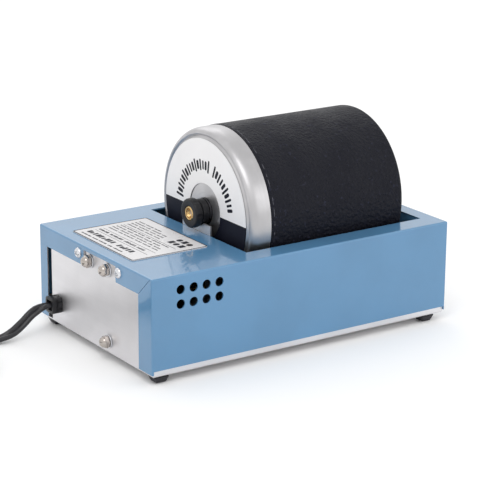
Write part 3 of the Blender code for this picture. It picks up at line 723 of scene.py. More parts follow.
def colour_setting(name, description, default):
    return bpy.props.FloatVectorProperty(
        name=name, description=description, subtype="COLOR", default=default, min=0.0, max=1.0
    )


class TumblerSizes(bpy.types.PropertyGroup):
    bend_radius: length_setting(
        "Bend radius", "Outside radius of the folds in the case's sheet", 0.0013, 0.0002
    )
    vent_radius: length_setting("Vent radius", "Radius of each round cooling hole", 0.0032, 0.001)
    label_radius: length_setting(
        "Lid label radius", "Outside radius of the two-tone label on the lid", 0.0503, 0.02
    )
    cord_length: length_setting(
        "Cord length", "Length of the power cord from the case to its plug", 1.75, 0.3
    )
    cord_width: length_setting("Cord width", "Width of the flat two-core cord", 0.0070, 0.004)
    cord_thickness: length_setting(
        "Cord thickness", "Thickness of the flat two-core cord", 0.0036, 0.002
    )


class TumblerColours(bpy.types.PropertyGroup):
    case_blue: colour_setting(
        "Case blue", "Colour of the enamel on the case", (0.086, 0.232, 0.410)
    )
    aluminium: colour_setting(
        "Aluminium", "Colour of the bare sheet and the lid", (0.76, 0.75, 0.765)
    )
    rubber: colour_setting(
        "Barrel rubber", "Colour of the barrel's pebbled rubber", (0.0065, 0.0070, 0.0125)
    )
    plastic: colour_setting(
        "Black plastic", "Colour of the knob, cord entry and plug", (0.012, 0.012, 0.014)
    )
    brass: colour_setting("Brass", "Colour of the knob's threaded insert", (0.78, 0.53, 0.24))
    floor: colour_setting("Floor", "Colour of the studio floor", (0.96, 0.96, 0.96))


# Stage


class STAGE_OT_studio(bpy.types.Operator):
    """Adds the pale floor, the soft lights and the camera"""

    bl_idname = "tumbler.studio"
    bl_label = "Studio"

    def soft_light(self, name, place, target_z, size, power):
        start_fresh()
        bpy.ops.object.light_add(type="AREA", location=place)
        light = bpy.context.object
        light.name = name
        light.data.shape = "RECTANGLE"
        light.data.size, light.data.size_y = size
        light.data.energy = power
        aim = Vector((0, 0, target_z)) - Vector(place)
        light.rotation_euler = aim.to_track_quat("-Z", "Y").to_euler()

    def camera(self, scene):
        start_fresh()
        bpy.ops.object.camera_add(location=(-0.72237, -1.06922, 0.45696))
        camera = bpy.context.object
        camera.name = "studio_camera"
        yaw, pitch, roll = (math.radians(a) for a in (34.0066, 17.1015, 0.38367))
        forward = Vector(
            (math.sin(yaw) * math.cos(pitch), math.cos(yaw) * math.cos(pitch), -math.sin(pitch))
        )
        level = Vector((math.cos(yaw), -math.sin(yaw), 0))
        upright = level.cross(forward)
        right = math.cos(roll) * level + math.sin(roll) * upright
        up = math.cos(roll) * upright - math.sin(roll) * level
        camera.rotation_euler = Matrix((right, up, -forward)).transposed().to_euler()
        camera.data.sensor_width = 36
        camera.data.lens = 144.92
        camera.data.clip_start, camera.data.clip_end = 0.05, 50
        scene.camera = camera

    def execute(self, context):
        scene = context.scene
        scene.view_settings.view_transform = "Standard"
        world = bpy.data.worlds.new("Studio air")
        world.use_nodes = True
        backdrop = world.node_tree.nodes["Background"]
        backdrop.inputs["Color"].default_value = (1.0, 1.0, 1.0, 1.0)
        backdrop.inputs["Strength"].default_value = 1.0
        scene.world = world

        start_fresh()
        bpy.ops.mesh.primitive_plane_add(size=12, location=(0, 0, -0.0003))
        floor = named("studio_floor")
        colour = scene.tumbler_colours.floor
        pale = Finish("Studio floor", colour, 0.75)
        tone = pale.mottle(3.0, 0.2, 0.8)
        pale.vary(tone, colour, 0.99, 1.0)
        pale.spread(tone, 0.70, 0.82)
        floor.data.materials.append(pale.material)

        self.soft_light("key_light", (-0.55, -0.55, 1.15), 0.08, (0.7, 0.7), 3.2)
        self.soft_light("side_light", (0.75, -1.15, 0.55), 0.06, (0.9, 0.6), 1.4)
        self.soft_light("back_light", (0.3, 1.1, 0.9), 0.08, (0.9, 0.5), 1.8)
        self.camera(scene)
        return {"FINISHED"}


# Power cord


COIL_CENTRE = (COIL_LOW + COIL_HIGH) / 2 + Vector((-0.005, 0, 0))
COIL_RADIUS = 0.0400
GLAND_MIDDLE = (GLAND_LOW + GLAND_HIGH) / 2
TURN_START, TURN_END = 70, 180 + 6 * 360
# Which ring (outer 1, inner -1) and layer each turn of the coil lies in
TURN_PLACES = ((1, 0), (-1, 0), (-1, 1), (1, 1), (1, 2), (-1, 2), (1, 3))
CORD_STEP = 0.0035


def eased(t):
    t = max(0.0, min(1.0, t))
    return t * t * (3 - 2 * t)


def coil_point(degrees):
    """Where the middle of the cord is after turning this far round the coil."""
    swept = (degrees - TURN_START) / 360
    turn = min(int(swept), len(TURN_PLACES) - 1)
    ring, layer = TURN_PLACES[turn]
    before = TURN_PLACES[turn - 1] if turn else (ring, layer)
    share = eased((swept - turn) / 0.22)
    ring = before[0] + (ring - before[0]) * share
    layer = before[1] + (layer - before[1]) * share
    radius = COIL_RADIUS + 0.00356 * ring
    angle = math.radians(degrees)
    x = COIL_CENTRE.x + radius * math.cos(angle)
    y = COIL_CENTRE.y + radius * math.sin(angle)
    return Vector((x, y, 0.00275 + 0.00370 * layer))


def curve_through(points, spacing):
    """Evenly spaced points on a smooth curve through the given ones."""
    points = [Vector(p) for p in points]
    ends = [2 * points[0] - points[1], *points, 2 * points[-1] - points[-2]]
    dense = []
    for before, start, end, after in zip(ends, ends[1:], ends[2:], ends[3:]):
        for i in range(10):
            t = i / 10
            slope = (end - before) * t
            bend = (2 * before - 5 * start + 4 * end - after) * t**2
            swing = (3 * start - before - 3 * end + after) * t**3
            dense.append(0.5 * (2 * start + slope + bend + swing))
    dense.append(points[-1])
    total = sum((b - a).length for a, b in zip(dense, dense[1:]))
    count = round(total / spacing)
    spaced, walked, target = [dense[0]], 0.0, total / count
    for a, b in zip(dense, dense[1:]):
        step = (b - a).length
        while walked + step >= target and len(spaced) < count:
            spaced.append(a.lerp(b, (target - walked) / step))
            target += total / count
        walked += step
    return [*spaced, dense[-1]]


def cord_route():
    """The cord's middle line: out of its entry, down to the bench, round the coil, to the plug."""
    y, z = GLAND_MIDDLE.y, GLAND_MIDDLE.z
    start = GLAND_LOW.x - 0.0003
    lead = [
        (start, y, z),
        (start - 0.0035, y, z),
        (-0.1345, y, 0.0192),
        (-0.1400, y, 0.0163),
        (-0.1465, y, 0.0110),
        (-0.1550, 0.0510, 0.0056),
        (-0.1650, 0.0521, 0.0029),
        (-0.1780, 0.0545, 0.0021),
        (-0.1925, 0.0597, 0.0021),
        (-0.2050, 0.0653, 0.0024),
    ]
    turns = [coil_point(a) for a in range(TURN_START, TURN_END - 8, 12)]
    plug_x = (PLUG_LOW.x + PLUG_HIGH.x) / 2
    tail = [
        (plug_x, 0.0180, 0.0118),
        (plug_x, 0.0065, 0.0094),
        (plug_x, -0.0040, 0.0081),
        (plug_x, PLUG_HIGH.y + 0.0003, 0.0079),
    ]
    return curve_through([*lead, *turns, *tail], CORD_STEP)


class CORD_OT_power_cord(bpy.types.Operator):
    """Adds the flat two-core cord, coiled for storage, with its tie and plug"""

    bl_idname = "tumbler.power_cord"
    bl_label = "Power cord"

    def section(self, sizes):
        """The cord's outline: two round cores side by side with a groove between them."""
        thick = sizes.cord_thickness / 2
        core = sizes.cord_width / 2 - thick
        outline = []
        for side in (1, -1):
            for i in range(11):
                angle = math.radians(-104 + 208 * i / 10)
                outline.append(
                    (side * (core + thick * math.cos(angle)), side * thick * math.sin(angle))
                )
            outline.append((0.0, side * thick * 0.40))
        profile = bpy.data.curves.new("cord_section", "CURVE")
        line = profile.splines.new("POLY")
        line.points.add(len(outline) - 1)
        for point, (x, y) in zip(line.points, outline):
            point.co = (x, y, 0, 1)
        line.use_cyclic_u = True
        section = bpy.data.objects.new("cord_section", profile)
        bpy.context.scene.collection.objects.link(section)
        return section

    def twist(self, distance):
        """How far the cord is rolled over at a distance from the case: it lands flat."""
        rise = eased((distance - 0.003) / 0.012)
        return math.radians(-72) * rise * (1 - eased((distance - 0.020) / 0.026))

    def drawn_cord(self, route, section):
        """The section carried along the route."""
        data = bpy.data.curves.new("power_cord_line", "CURVE")
        data.dimensions = "3D"
        data.twist_mode = "Z_UP"
        data.bevel_mode = "OBJECT"
        data.bevel_object = section
        data.use_fill_caps = True
        path = data.splines.new("POLY")
        path.points.add(len(route) - 1)
        for i, (point, place) in enumerate(zip(path.points, route)):
            point.co = (*place, 1)
            point.tilt = self.twist(i * CORD_STEP)
        cord = bpy.data.objects.new("mains_cord", data)
        bpy.context.scene.collection.objects.link(cord)
        hold(cord)
        bpy.ops.object.convert(target="MESH")
        bpy.data.objects.remove(section, do_unlink=True)
        enter_edit()
        tidy_mesh(1e-6)
        return smooth(bpy.context.object, 40)

    def tie(self):
        """A soft strap round the bundle of turns."""
        middle, half = Vector((COIL_RADIUS, 0, 0.0083)), Vector((0.0076, 0.0025, 0.0080))
        strap = round_off(block("cord_tie", middle - half, middle + half), along(1), 0.0035, 6)
        remove_faces(strap, lambda f: abs(f.normal.y) > 0.9)
        finish_with(strap, "SOLIDIFY", thickness=0.0006, offset=-1)
        soften(strap, 0.0002)
        strap.data.transform(Matrix.Rotation(math.radians(118), 4, "Z"))
        strap.data.transform(Matrix.Translation((COIL_CENTRE.x, COIL_CENTRE.y, 0)))
        return settle(smooth(strap, 50), "case", "soft_rubber", "soft")

    def plug(self):
        """The two-pin plug: a rounded body with finger grips and a tapered end."""
        low, high = PLUG_LOW, PLUG_HIGH
        middle = (low + high) / 2
        body = block("plug_grip", (low.x, low.y, low.z), (high.x, high.y - 0.008, high.z))
        enter_edit()
        pick(body, "FACE", lambda f: f.normal.y > 0.9)
        for reach, wide, tall in ((0.0035, 0.62, 0.82), (0.0045, 0.72, 0.72)):
            bpy.ops.mesh.extrude_region_move(TRANSFORM_OT_translate={"value": (0, reach, 0)})
            bpy.ops.transform.resize(value=(wide, 1, tall))
        leave_edit()
        round_off(body, lambda e: True, 0.0016, 4)
        grips = []
        for side in (-1, 1):
            x = middle.x + side * (high.x - low.x) / 2
            for i in range(4):
                place = (x, low.y + 0.007 + i * 0.0032)
                start, end = low.z + 0.003, high.z - 0.003
                grips.append(rod("grip_cut", 0.0009, start, end, place, "Z", 16))
        cut(body, joined("grip_cuts", *grips))
        return settle(smooth(body, 40), "case", "black_plastic", "plastic", "plug_body")

    def blade(self, side):
        """One flat plug pin with its chamfered tip and round hole."""
        node = f"plug_blade_{side}"
        low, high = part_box(node)
        blade = round_off(
            block(f"plug_pin_{side}", low, high),
            lambda e: all(abs(v.co.y - low.y) < 1e-6 for v in e.verts) and along(0)(e),
            0.0012,
            3,
        )
        place = (low.y + 0.0035, (low.z + high.z) / 2)
        cut(blade, rod("pin_hole", 0.0015, low.x - 0.001, high.x + 0.001, place, "X", 24))
        soften(blade, 0.00018)
        return settle(smooth(blade, 40), "case", "nickel", "nickel", node)

    def execute(self, context):
        sizes = context.scene.tumbler_sizes
        route = cord_route()
        cord = self.drawn_cord(route, self.section(sizes))
        settle(cord, "case", "cord_vinyl", "vinyl", "power_cord", "cord_coil", "cord_tail")
        tie = self.tie()
        plug = self.plug()
        blades = [self.blade("left"), self.blade("right")]
        return {"FINISHED"}


class CORD_OT_entry(bpy.types.Operator):
    """Adds the square cord entry in the end panel"""

    bl_idname = "tumbler.cord_entry"
    bl_label = "Cord entry"

    def grooves(self, face):
        """The ribs' gaps on two sides and the slots that the wall grips."""
        low, high, middle = GLAND_LOW, GLAND_HIGH, GLAND_MIDDLE
        rib, rib_start, rib_end = 0.0012, low.x + 0.0046, face - 0.0008
        made = []
        for z in (middle.z - 0.0026, middle.z + 0.0022):
            corner = (rib_start, low.y - 0.001, z)
            made.append(block("entry_rib", corner, (rib_end, low.y + 0.0007, z + rib)))
        for y in (middle.y - 0.0028, middle.y + 0.0014):
            corner = (rib_start, y, high.z - 0.0007)
            made.append(block("entry_rib", corner, (rib_end, y + rib, high.z + 0.001)))
        for side in (-1, 1):
            edge = middle.y + side * (high.y - low.y) / 2
            corner = (low.x + 0.0026, edge - 0.0008, low.z - 0.001)
            far = (low.x + 0.0039, edge + 0.0008, high.z + 0.001)
            made.append(block("entry_groove", corner, far))
        return made

    def execute(self, context):
        low, high, middle = GLAND_LOW, GLAND_HIGH, GLAND_MIDDLE
        face = TRAY_LOW.x - 0.0003
        head = round_off(block("cord_entry", low, (face, high.y, high.z)), along(0), 0.0022, 3)
        soften(head, 0.0003, 2)
        sink_face(head, lambda f: f.normal.x < -0.99, 0.0017, (0.0022, 0, 0))
        cut(head, *self.grooves(face))
        neck = rod("entry_neck", 0.0054, face - 0.0005, high.x, (middle.y, middle.z), "X", 40)
        piece = joined("cord_entry", head, neck)
        settle(smooth(piece, 40), "case", "black_plastic", "plastic", "cord_gland")
        return {"FINISHED"}


# Case


WINDOW_LOW_Y = COVER_LOW.y + 0.0170
WINDOW_HIGH_Y = COVER_HIGH.y - 0.0108
FLANGE_Z = TOP - 0.0140
OPENING_LOW = Vector((-0.0356, -0.0588, TOP - 0.005))
OPENING_HIGH = Vector((0.1124, 0.0625, TOP + 0.01))


class CASE_OT_cover(bpy.types.Operator):
    """Adds the folded blue cover with its opening, flanges, mitres and vents"""

    bl_idname = "tumbler.cover"
    bl_label = "Case cover"

    def end_cutters(self):
        """The side trim, the windows under the end flanges and the notch."""
        low, high = COVER_LOW, COVER_HIGH
        corners = {
            "side_trim": (
                (low.x + 0.0012, low.y - 0.002, low.z - 0.02),
                (high.x - 0.0012, high.y + 0.002, 0.0098),
            ),
            "end_windows": (
                (low.x - 0.003, WINDOW_LOW_Y, low.z - 0.03),
                (high.x + 0.003, WINDOW_HIGH_Y, FLANGE_Z),
            ),
            "notch": (
                (low.x - 0.004, -0.0294, FLANGE_Z - 0.002),
                (low.x + 0.0025, 0.0127, TOP - 0.0030),
            ),
        }
        return [block(name, *pair) for name, pair in corners.items()]

    def mitre_slits(self):
        """The fine slanted joints at the near upper corner of each end."""
        corner = Vector((0, COVER_LOW.y + 0.0027, TOP - 0.0007))
        inner = Vector((0, WINDOW_LOW_Y + 0.0004, FLANGE_Z - 0.0004))
        run, middle = inner - corner, (inner + corner) / 2
        lean = Vector((0, 0, 1)).rotation_difference(run).to_matrix().to_4x4()
        half = Vector((0.0015, 0.00015, run.length / 2))
        slits = []
        for x in (COVER_LOW.x, COVER_HIGH.x):
            slit = block("mitre_slit", -half, half)
            slit.data.transform(lean)
            slit.data.transform(Matrix.Translation((x, middle.y, middle.z)))
            slits.append(slit)
        return slits

    def vents(self, radius):
        start, end, pitch = COVER_LOW.y - 0.002, COVER_LOW.y + 0.004, 0.0099
        holes = []
        for column in range(4):
            for row in range(2):
                place = (-0.0971 + column * pitch, TOP - 0.0101 - row * pitch)
                holes.append(rod("vent", radius, start, end, place, "Y", 40))
        return joined("vents", *holes)

    def lips(self):
        """The opening's turned-down flanges."""
        near, far = OPENING_LOW.y + 0.0046, OPENING_HIGH.y - 0.0046
        made = []
        for start in (OPENING_LOW.x - SHEET, OPENING_HIGH.x):
            lip = block(
                "opening_lip", (start, near, TOP - 0.0120), (start + SHEET, far, TOP - 0.0003)
            )
            made.append(soften(lip, 0.0002))
        return made

    def is_bare_edge(self, face):
        """Whether a face is a cut edge that shows bare metal at a window or along the side."""
        middle, normal, skin = face.center, face.normal, 0.00012
        end_depth = min(middle.x - COVER_LOW.x, COVER_HIGH.x - middle.x)
        side_depth = min(middle.y - COVER_LOW.y, COVER_HIGH.y - middle.y)
        if skin < end_depth < SHEET - skin and abs(normal.x) < 0.3 and normal.y < -0.8:
            if middle.y > 0 and middle.z < TOP - 0.004:
                return True
        return skin < side_depth < SHEET - skin and normal.z < -0.8 and middle.z < 0.011

    def execute(self, context):
        sizes = context.scene.tumbler_sizes
        shell = folded_box(
            "case_cover",
            COVER_LOW,
            COVER_HIGH,
            lambda e: any(v.co.z > COVER_LOW.z + 0.001 for v in e.verts),
            sizes.bend_radius,
            -1,
            SHEET,
        )
        cut(shell, *self.end_cutters(), *self.mitre_slits())
        cut(shell, block("opening", OPENING_LOW, OPENING_HIGH))
        cut(shell, self.vents(sizes.vent_radius))
        soften(shell, 0.00016, 2, 35)
        cover = even_faces(joined("case_cover", shell, *self.lips()))
        settle(cover, "case", "blue_enamel", "enamel", "housing_cover")
        coat_some(cover, "edge", self.is_bare_edge)
        return {"FINISHED"}


class CASE_OT_chassis(bpy.types.Operator):
    """Adds the bare aluminium tray and the inner bulkhead with its stop tab"""

    bl_idname = "tumbler.chassis"
    bl_label = "Tray and bulkhead"

    def shaft_holes(self, name, start, end, sides):
        return [rod(name, SHAFT_HOLE, start, end, (y, ROLLER_Z), "X", sides) for y in ROLLER_Y]

    def tray(self):
        low, high = TRAY_LOW, TRAY_HIGH
        panel_half = 0.0605
        tray = folded_box(
            "floor_tray",
            low,
            high,
            lambda e: all(v.co.z < low.z + 0.001 for v in e.verts),
            0.0016,
            1,
            TRAY_SHEET,
        )
        cutters = []
        for side in (-1, 1):
            edge, outer, inner = (side * y for y in (panel_half, high.y + 0.003, high.y - 0.0014))
            near, far = sorted((edge, outer))
            corner = (low.x - 0.003, near, 0.020)
            cutters.append(block("above_lip", corner, (high.x + 0.003, far, high.z + 0.02)))
            near, far = sorted((edge, inner))
            for x in (low.x, high.x):
                corner = (x - 0.003, near, low.z + 0.0019)
                cutters.append(block("corner_relief", corner, (x + 0.003, far, high.z + 0.03)))
        cut(tray, *cutters, *self.shaft_holes("bearing_seat", high.x - 0.004, high.x + 0.004, 48))
        soften(tray, 0.00018, 2, 35)
        settle(even_faces(tray), "case", "mill_aluminium", "sheet", "chassis_tray")
        coat_some(
            tray, "strip", lambda f: abs(f.center.y) > panel_half + 0.010 or f.normal.z < -0.6
        )

    def bulkhead(self):
        low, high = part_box("inner_bulkhead")
        front, back = high.x - TRAY_SHEET, high.x
        plate = block("bulkhead", (front, low.y, low.z), (back, high.y, TOP - 0.0032))
        tab = block("bulkhead_tab", (front, -0.0145, 0.060), (back, 0.0205, high.z))
        foot = block("bulkhead_foot", low, (back, high.y, low.z + TRAY_SHEET))
        combine(plate, "UNION", tab, foot)
        start, end = front - 0.003, back + 0.003
        hub_notch = rod("hub_notch", 0.0098, start, end, SPIN, "X", 96)
        cut(plate, hub_notch, *self.shaft_holes("shaft_hole", start, end, 40))
        soften(plate, 0.00014, 2, 35)
        settle(even_faces(plate), "case", "mill_aluminium", "sheet", "inner_bulkhead")

    def execute(self, context):
        self.tray()
        self.bulkhead()
        return {"FINISHED"}


class CASE_OT_feet(bpy.types.Operator):
    """Adds the four tapered rubber bumpers"""

    bl_idname = "tumbler.feet"
    bl_label = "Feet"

    def execute(self, context):
        low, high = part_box("foot_front_left")
        middle = (low + high) / 2
        sole, top = 0.0072, 0.0108
        start_fresh()
        bpy.ops.mesh.primitive_cone_add(
            vertices=4,
            radius1=sole / math.sqrt(2),
            radius2=top / math.sqrt(2),
            depth=high.z - low.z,
            location=middle,
            rotation=(0, 0, math.pi / 4),
        )
        foot = named("bumper_front_left")
        sink_face(foot, lambda f: f.normal.z < -0.9, 0.0012, (0, 0, 0.0012))
        soften(foot, 0.0005, 3, 30)
        smooth(foot, 40)
        for name in ("front_right", "rear_left", "rear_right"):
            copy = copy_of(foot, f"bumper_{name}", centre_of(f"foot_{name}") - middle)
            settle(copy, "case", "soft_rubber", "soft", f"foot_{name}")
        settle(foot, "case", "soft_rubber", "soft", "foot_front_left")
        return {"FINISHED"}


class CASE_OT_fasteners(bpy.types.Operator):
    """Adds the pan-head screws, dome nuts and washers"""

    bl_idname = "tumbler.fasteners"
    bl_label = "Screws and nuts"

    def screw(self):
        """A pan head with a cross recess, facing -X at the origin."""
        head = [(0.0004, -0.0023), (0.0014, -0.00225), (0.0024, -0.0020), (0.0031, -0.0015)]
        head += [(0.0035, -0.0009), (0.0036, -0.0004), (0.0036, 0.0)]
        head += [(0.0015, 0.0), (0.0015, 0.006)]
        screw = turned("pan_screw", head, (0, 0), 48, closed=False)
        for turn in (0, math.pi / 2):
            slot = block("cross", (-0.0031, -0.00046, -0.0017), (-0.0011, 0.00046, 0.0017))
            slot.data.transform(Matrix.Rotation(turn + 0.35, 4, "X"))
            cut(screw, slot)
        soften(screw, 0.00006, 2, 45)
        return smooth(screw, 35)

    def dome_nut(self):
        """A hexagon with a rounded cap, facing -X at the origin."""
        hexagon = rod("dome_nut", 0.0044, -0.0026, 0.0, (0, 0), "X", 6)
        chamfer = [(0.0052, -0.0048), (0.0038, -0.0027), (0.0052, -0.0019)]
        cut(hexagon, turned("chamfer", chamfer, (0, 0), 64))
        soften(hexagon, 0.00018, 2, 30)
        wide, tall, spring = 0.00378, 0.0034, -0.0022
        cap = [(0.0002, spring - tall)]
        for i in range(1, 11):
            angle = math.radians(90 - 9 * i)
            cap.append((wide * math.cos(angle), spring - tall * math.sin(angle)))
        cap += [(wide, -0.0016)]
        dome = turned("dome", cap, (0, 0), 56, closed=False)
        return smooth(joined("dome_nut", hexagon, dome), 35)

    def execute(self, context):
        screw = self.screw()
        for end, face_x in (("left", COVER_LOW.x), ("right", COVER_HIGH.x)):
            for i in (1, 2):
                node = f"cover_screw_{end}_{i}"
                middle = centre_of(node)
                turn = Matrix.Rotation(0.9 * i, 4, "X")
                if end == "right":
                    turn = Matrix.Rotation(math.pi, 4, "Z")
                place = (face_x, middle.y, middle.z)
                copy = copy_of(screw, f"pan_screw_{end}_{i}", place, turn)
                settle(copy, "case", "steel", "zinc", node)
        nut = self.dome_nut()
        for i, name in enumerate(("upper", "lower", "clip")):
            low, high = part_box(f"dome_nut_{name}")
            place = (high.x, (low.y + high.y) / 2, (low.z + high.z) / 2)
            turn = Matrix.Rotation(0.5 + 0.4 * i, 4, "X")
            copy = copy_of(nut, f"cap_nut_{name}", place, turn)
            settle(copy, "case", "nickel", "nickel", f"dome_nut_{name}")
            where = ("case", "nickel", "zinc", f"washer_{name}")
            flat_washer(f"flat_washer_{name}", 0.0023, 0.00015, place[1:], 64, *where)
        for pattern in (screw, nut):
            bpy.data.objects.remove(pattern, do_unlink=True)
        return {"FINISHED"}


# Rows of print on the rating plate, from the motor end: distance in from the plate's edge,
# height, width of a letter as a share of the row, and the letters in each word
SMALL_PRINT, PRINT, LARGE_PRINT = 46, 36, 17
PLATE_ROWS = (
    (0.0036, 0.0013, SMALL_PRINT, (9, 5, 7, 4, 8)),
    (0.0078, 0.0042, LARGE_PRINT, (9, 5)),
    (0.0172, 0.0020, PRINT, (7, 9, 8, 5)),
    (0.0250, 0.0011, SMALL_PRINT, (8, 4, 9, 6, 7, 5)),
    (0.0282, 0.0011, SMALL_PRINT, (6, 8, 5, 9, 4, 6)),
    (0.0314, 0.0011, SMALL_PRINT, (9, 5, 8, 7, 6)),
    (0.0346, 0.0011, SMALL_PRINT, (5, 9, 6, 4, 8, 6)),
    (0.0400, 0.0011, SMALL_PRINT, (8, 6, 7, 5)),
    (0.0432, 0.0011, SMALL_PRINT, (6, 9, 5, 6)),
    (0.0464, 0.0011, SMALL_PRINT, (9, 4, 8, 4)),
    (0.0496, 0.0011, SMALL_PRINT, (5, 7, 6)),
)


class CASE_OT_rating_plate(bpy.types.Operator):
    """Adds the rating plate with blank ruled lines in place of print"""

    bl_idname = "tumbler.rating_plate"
    bl_label = "Rating plate"

    def inked(self, name, start, size, corner=0.0):
        """A flat printed shape of this size from this corner of the plate, (x, y)."""
        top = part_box("rating_label")[1].z
        low = (*start, top + 0.00002)
        high = (start[0] + size[0], start[1] + size[1], top + 0.00006)
        return slab(name, low, high, corner) if corner else block(name, low, high)

    def border(self, low, high):
        edge, line = 0.0001, 0.0008
        wide, deep = high.x - low.x, high.y - low.y
        border = self.inked(
            "plate_border", (low.x + edge, low.y + edge), (wide - 2 * edge, deep - 2 * edge), 0.0019
        )
        inset = edge + line
        hollow = slab(
            "plate_hollow",
            (low.x + inset, low.y + inset, high.z - 0.001),
            (high.x - inset, high.y - inset, high.z + 0.001),
            0.0014,
        )
        return cut(border, hollow)

    def row(self, low, high, inward, height, share, words):
        """One row of plain blocks, read across the plate from its far side."""
        x, y = low.x + inward, high.y - 0.0062
        unit = (high.y - low.y - 0.014) / share
        made = []
        for letters in words:
            for i in range(letters):
                width = unit * (0.62 if (i + letters) % 3 else 0.82)
                tall = height * (1.0 if (i * 7 + letters) % 4 else 0.72)
                beside_badges = inward > 0.038 and y < low.y + 0.026
                if y - width > low.y + 0.004 and not beside_badges:
                    made.append(self.inked("word", (x, y - width), (tall, width)))
                y -= unit
            y -= unit * 1.1
        return made

    def badges(self, low):
        made = []
        for i in range(3):
            y = low.y + 0.0065 + i * 0.0062
            for j in range(2):
                x = low.x + 0.0410 + j * 0.0066
                if (i + j) % 2 == 0:
                    made.append(self.inked("badge", (x, y), (0.0050, 0.0044)))
                else:
                    made.append(self.inked("badge", (x, y), (0.0046, 0.0046), 0.0022))
        return made

    def execute(self, context):
        low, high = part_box("rating_label")
        plate = slab("rating_plate", (low.x, low.y, TOP + 0.00005), high, 0.0020)
        coat(plate.data, "foil")
        marks = [self.border(low, high)]
        for row in PLATE_ROWS:
            marks += self.row(low, high, *row)
        for inward in (0.0148, 0.0212, 0.0372):
            start, size = (low.x + inward, low.y + 0.006), (0.0003, high.y - low.y - 0.012)
            marks.append(self.inked("rule", start, size))
        marks += self.badges(low)
        for mark in marks:
            coat(mark.data, "ink")
        plate = smooth(joined("rating_plate", plate, *marks))
        settle(plate, "case", "label_film", None, "rating_label")
        return {"FINISHED"}


# Barrel and lid


class BARREL_OT_shell(bpy.types.Operator):
    """Adds the pebbled rubber barrel"""

    bl_idname = "tumbler.barrel"
    bl_label = "Rubber barrel"

    def execute(self, context):
        start = LID_HIGH.x + 0.0003
        end, neck = SHELL_HIGH.x, SHELL_LOW.x
        edge, inside, seam = 0.0034, RADIUS - 0.0085, RADIUS + 0.00012
        profile = [(0.006, end - 0.0012), (0.030, end - 0.0012), (0.0308, end - 0.0004)]
        profile += [(0.0318, end), *arc(edge, (RADIUS - edge, end - edge), 90, 0, 7)]
        profile += [(RADIUS, start + 0.0032), (seam, start + 0.0029)]
        profile += [(seam, start + 0.0024), (RADIUS, start + 0.0021)]
        profile += [*arc(0.0007, (RADIUS - 0.0007, start + 0.0007), 0, -90, 3)]
        profile += [(0.0555, start), (0.0555, neck + 0.0030), (0.0525, neck), (0.0420, neck)]
        profile += [(0.0420, neck + 0.011), (inside, neck + 0.016)]
        profile += [(inside, end - 0.010), (0.006, end - 0.010)]
        place = ("barrel", "barrel_rubber", "rubber", "barrel_shell")
        turned_piece("rubber_barrel", profile, SPIN, 192, 35, *place, closed=False)
        return {"FINISHED"}


LABEL_FILM = 0.00018


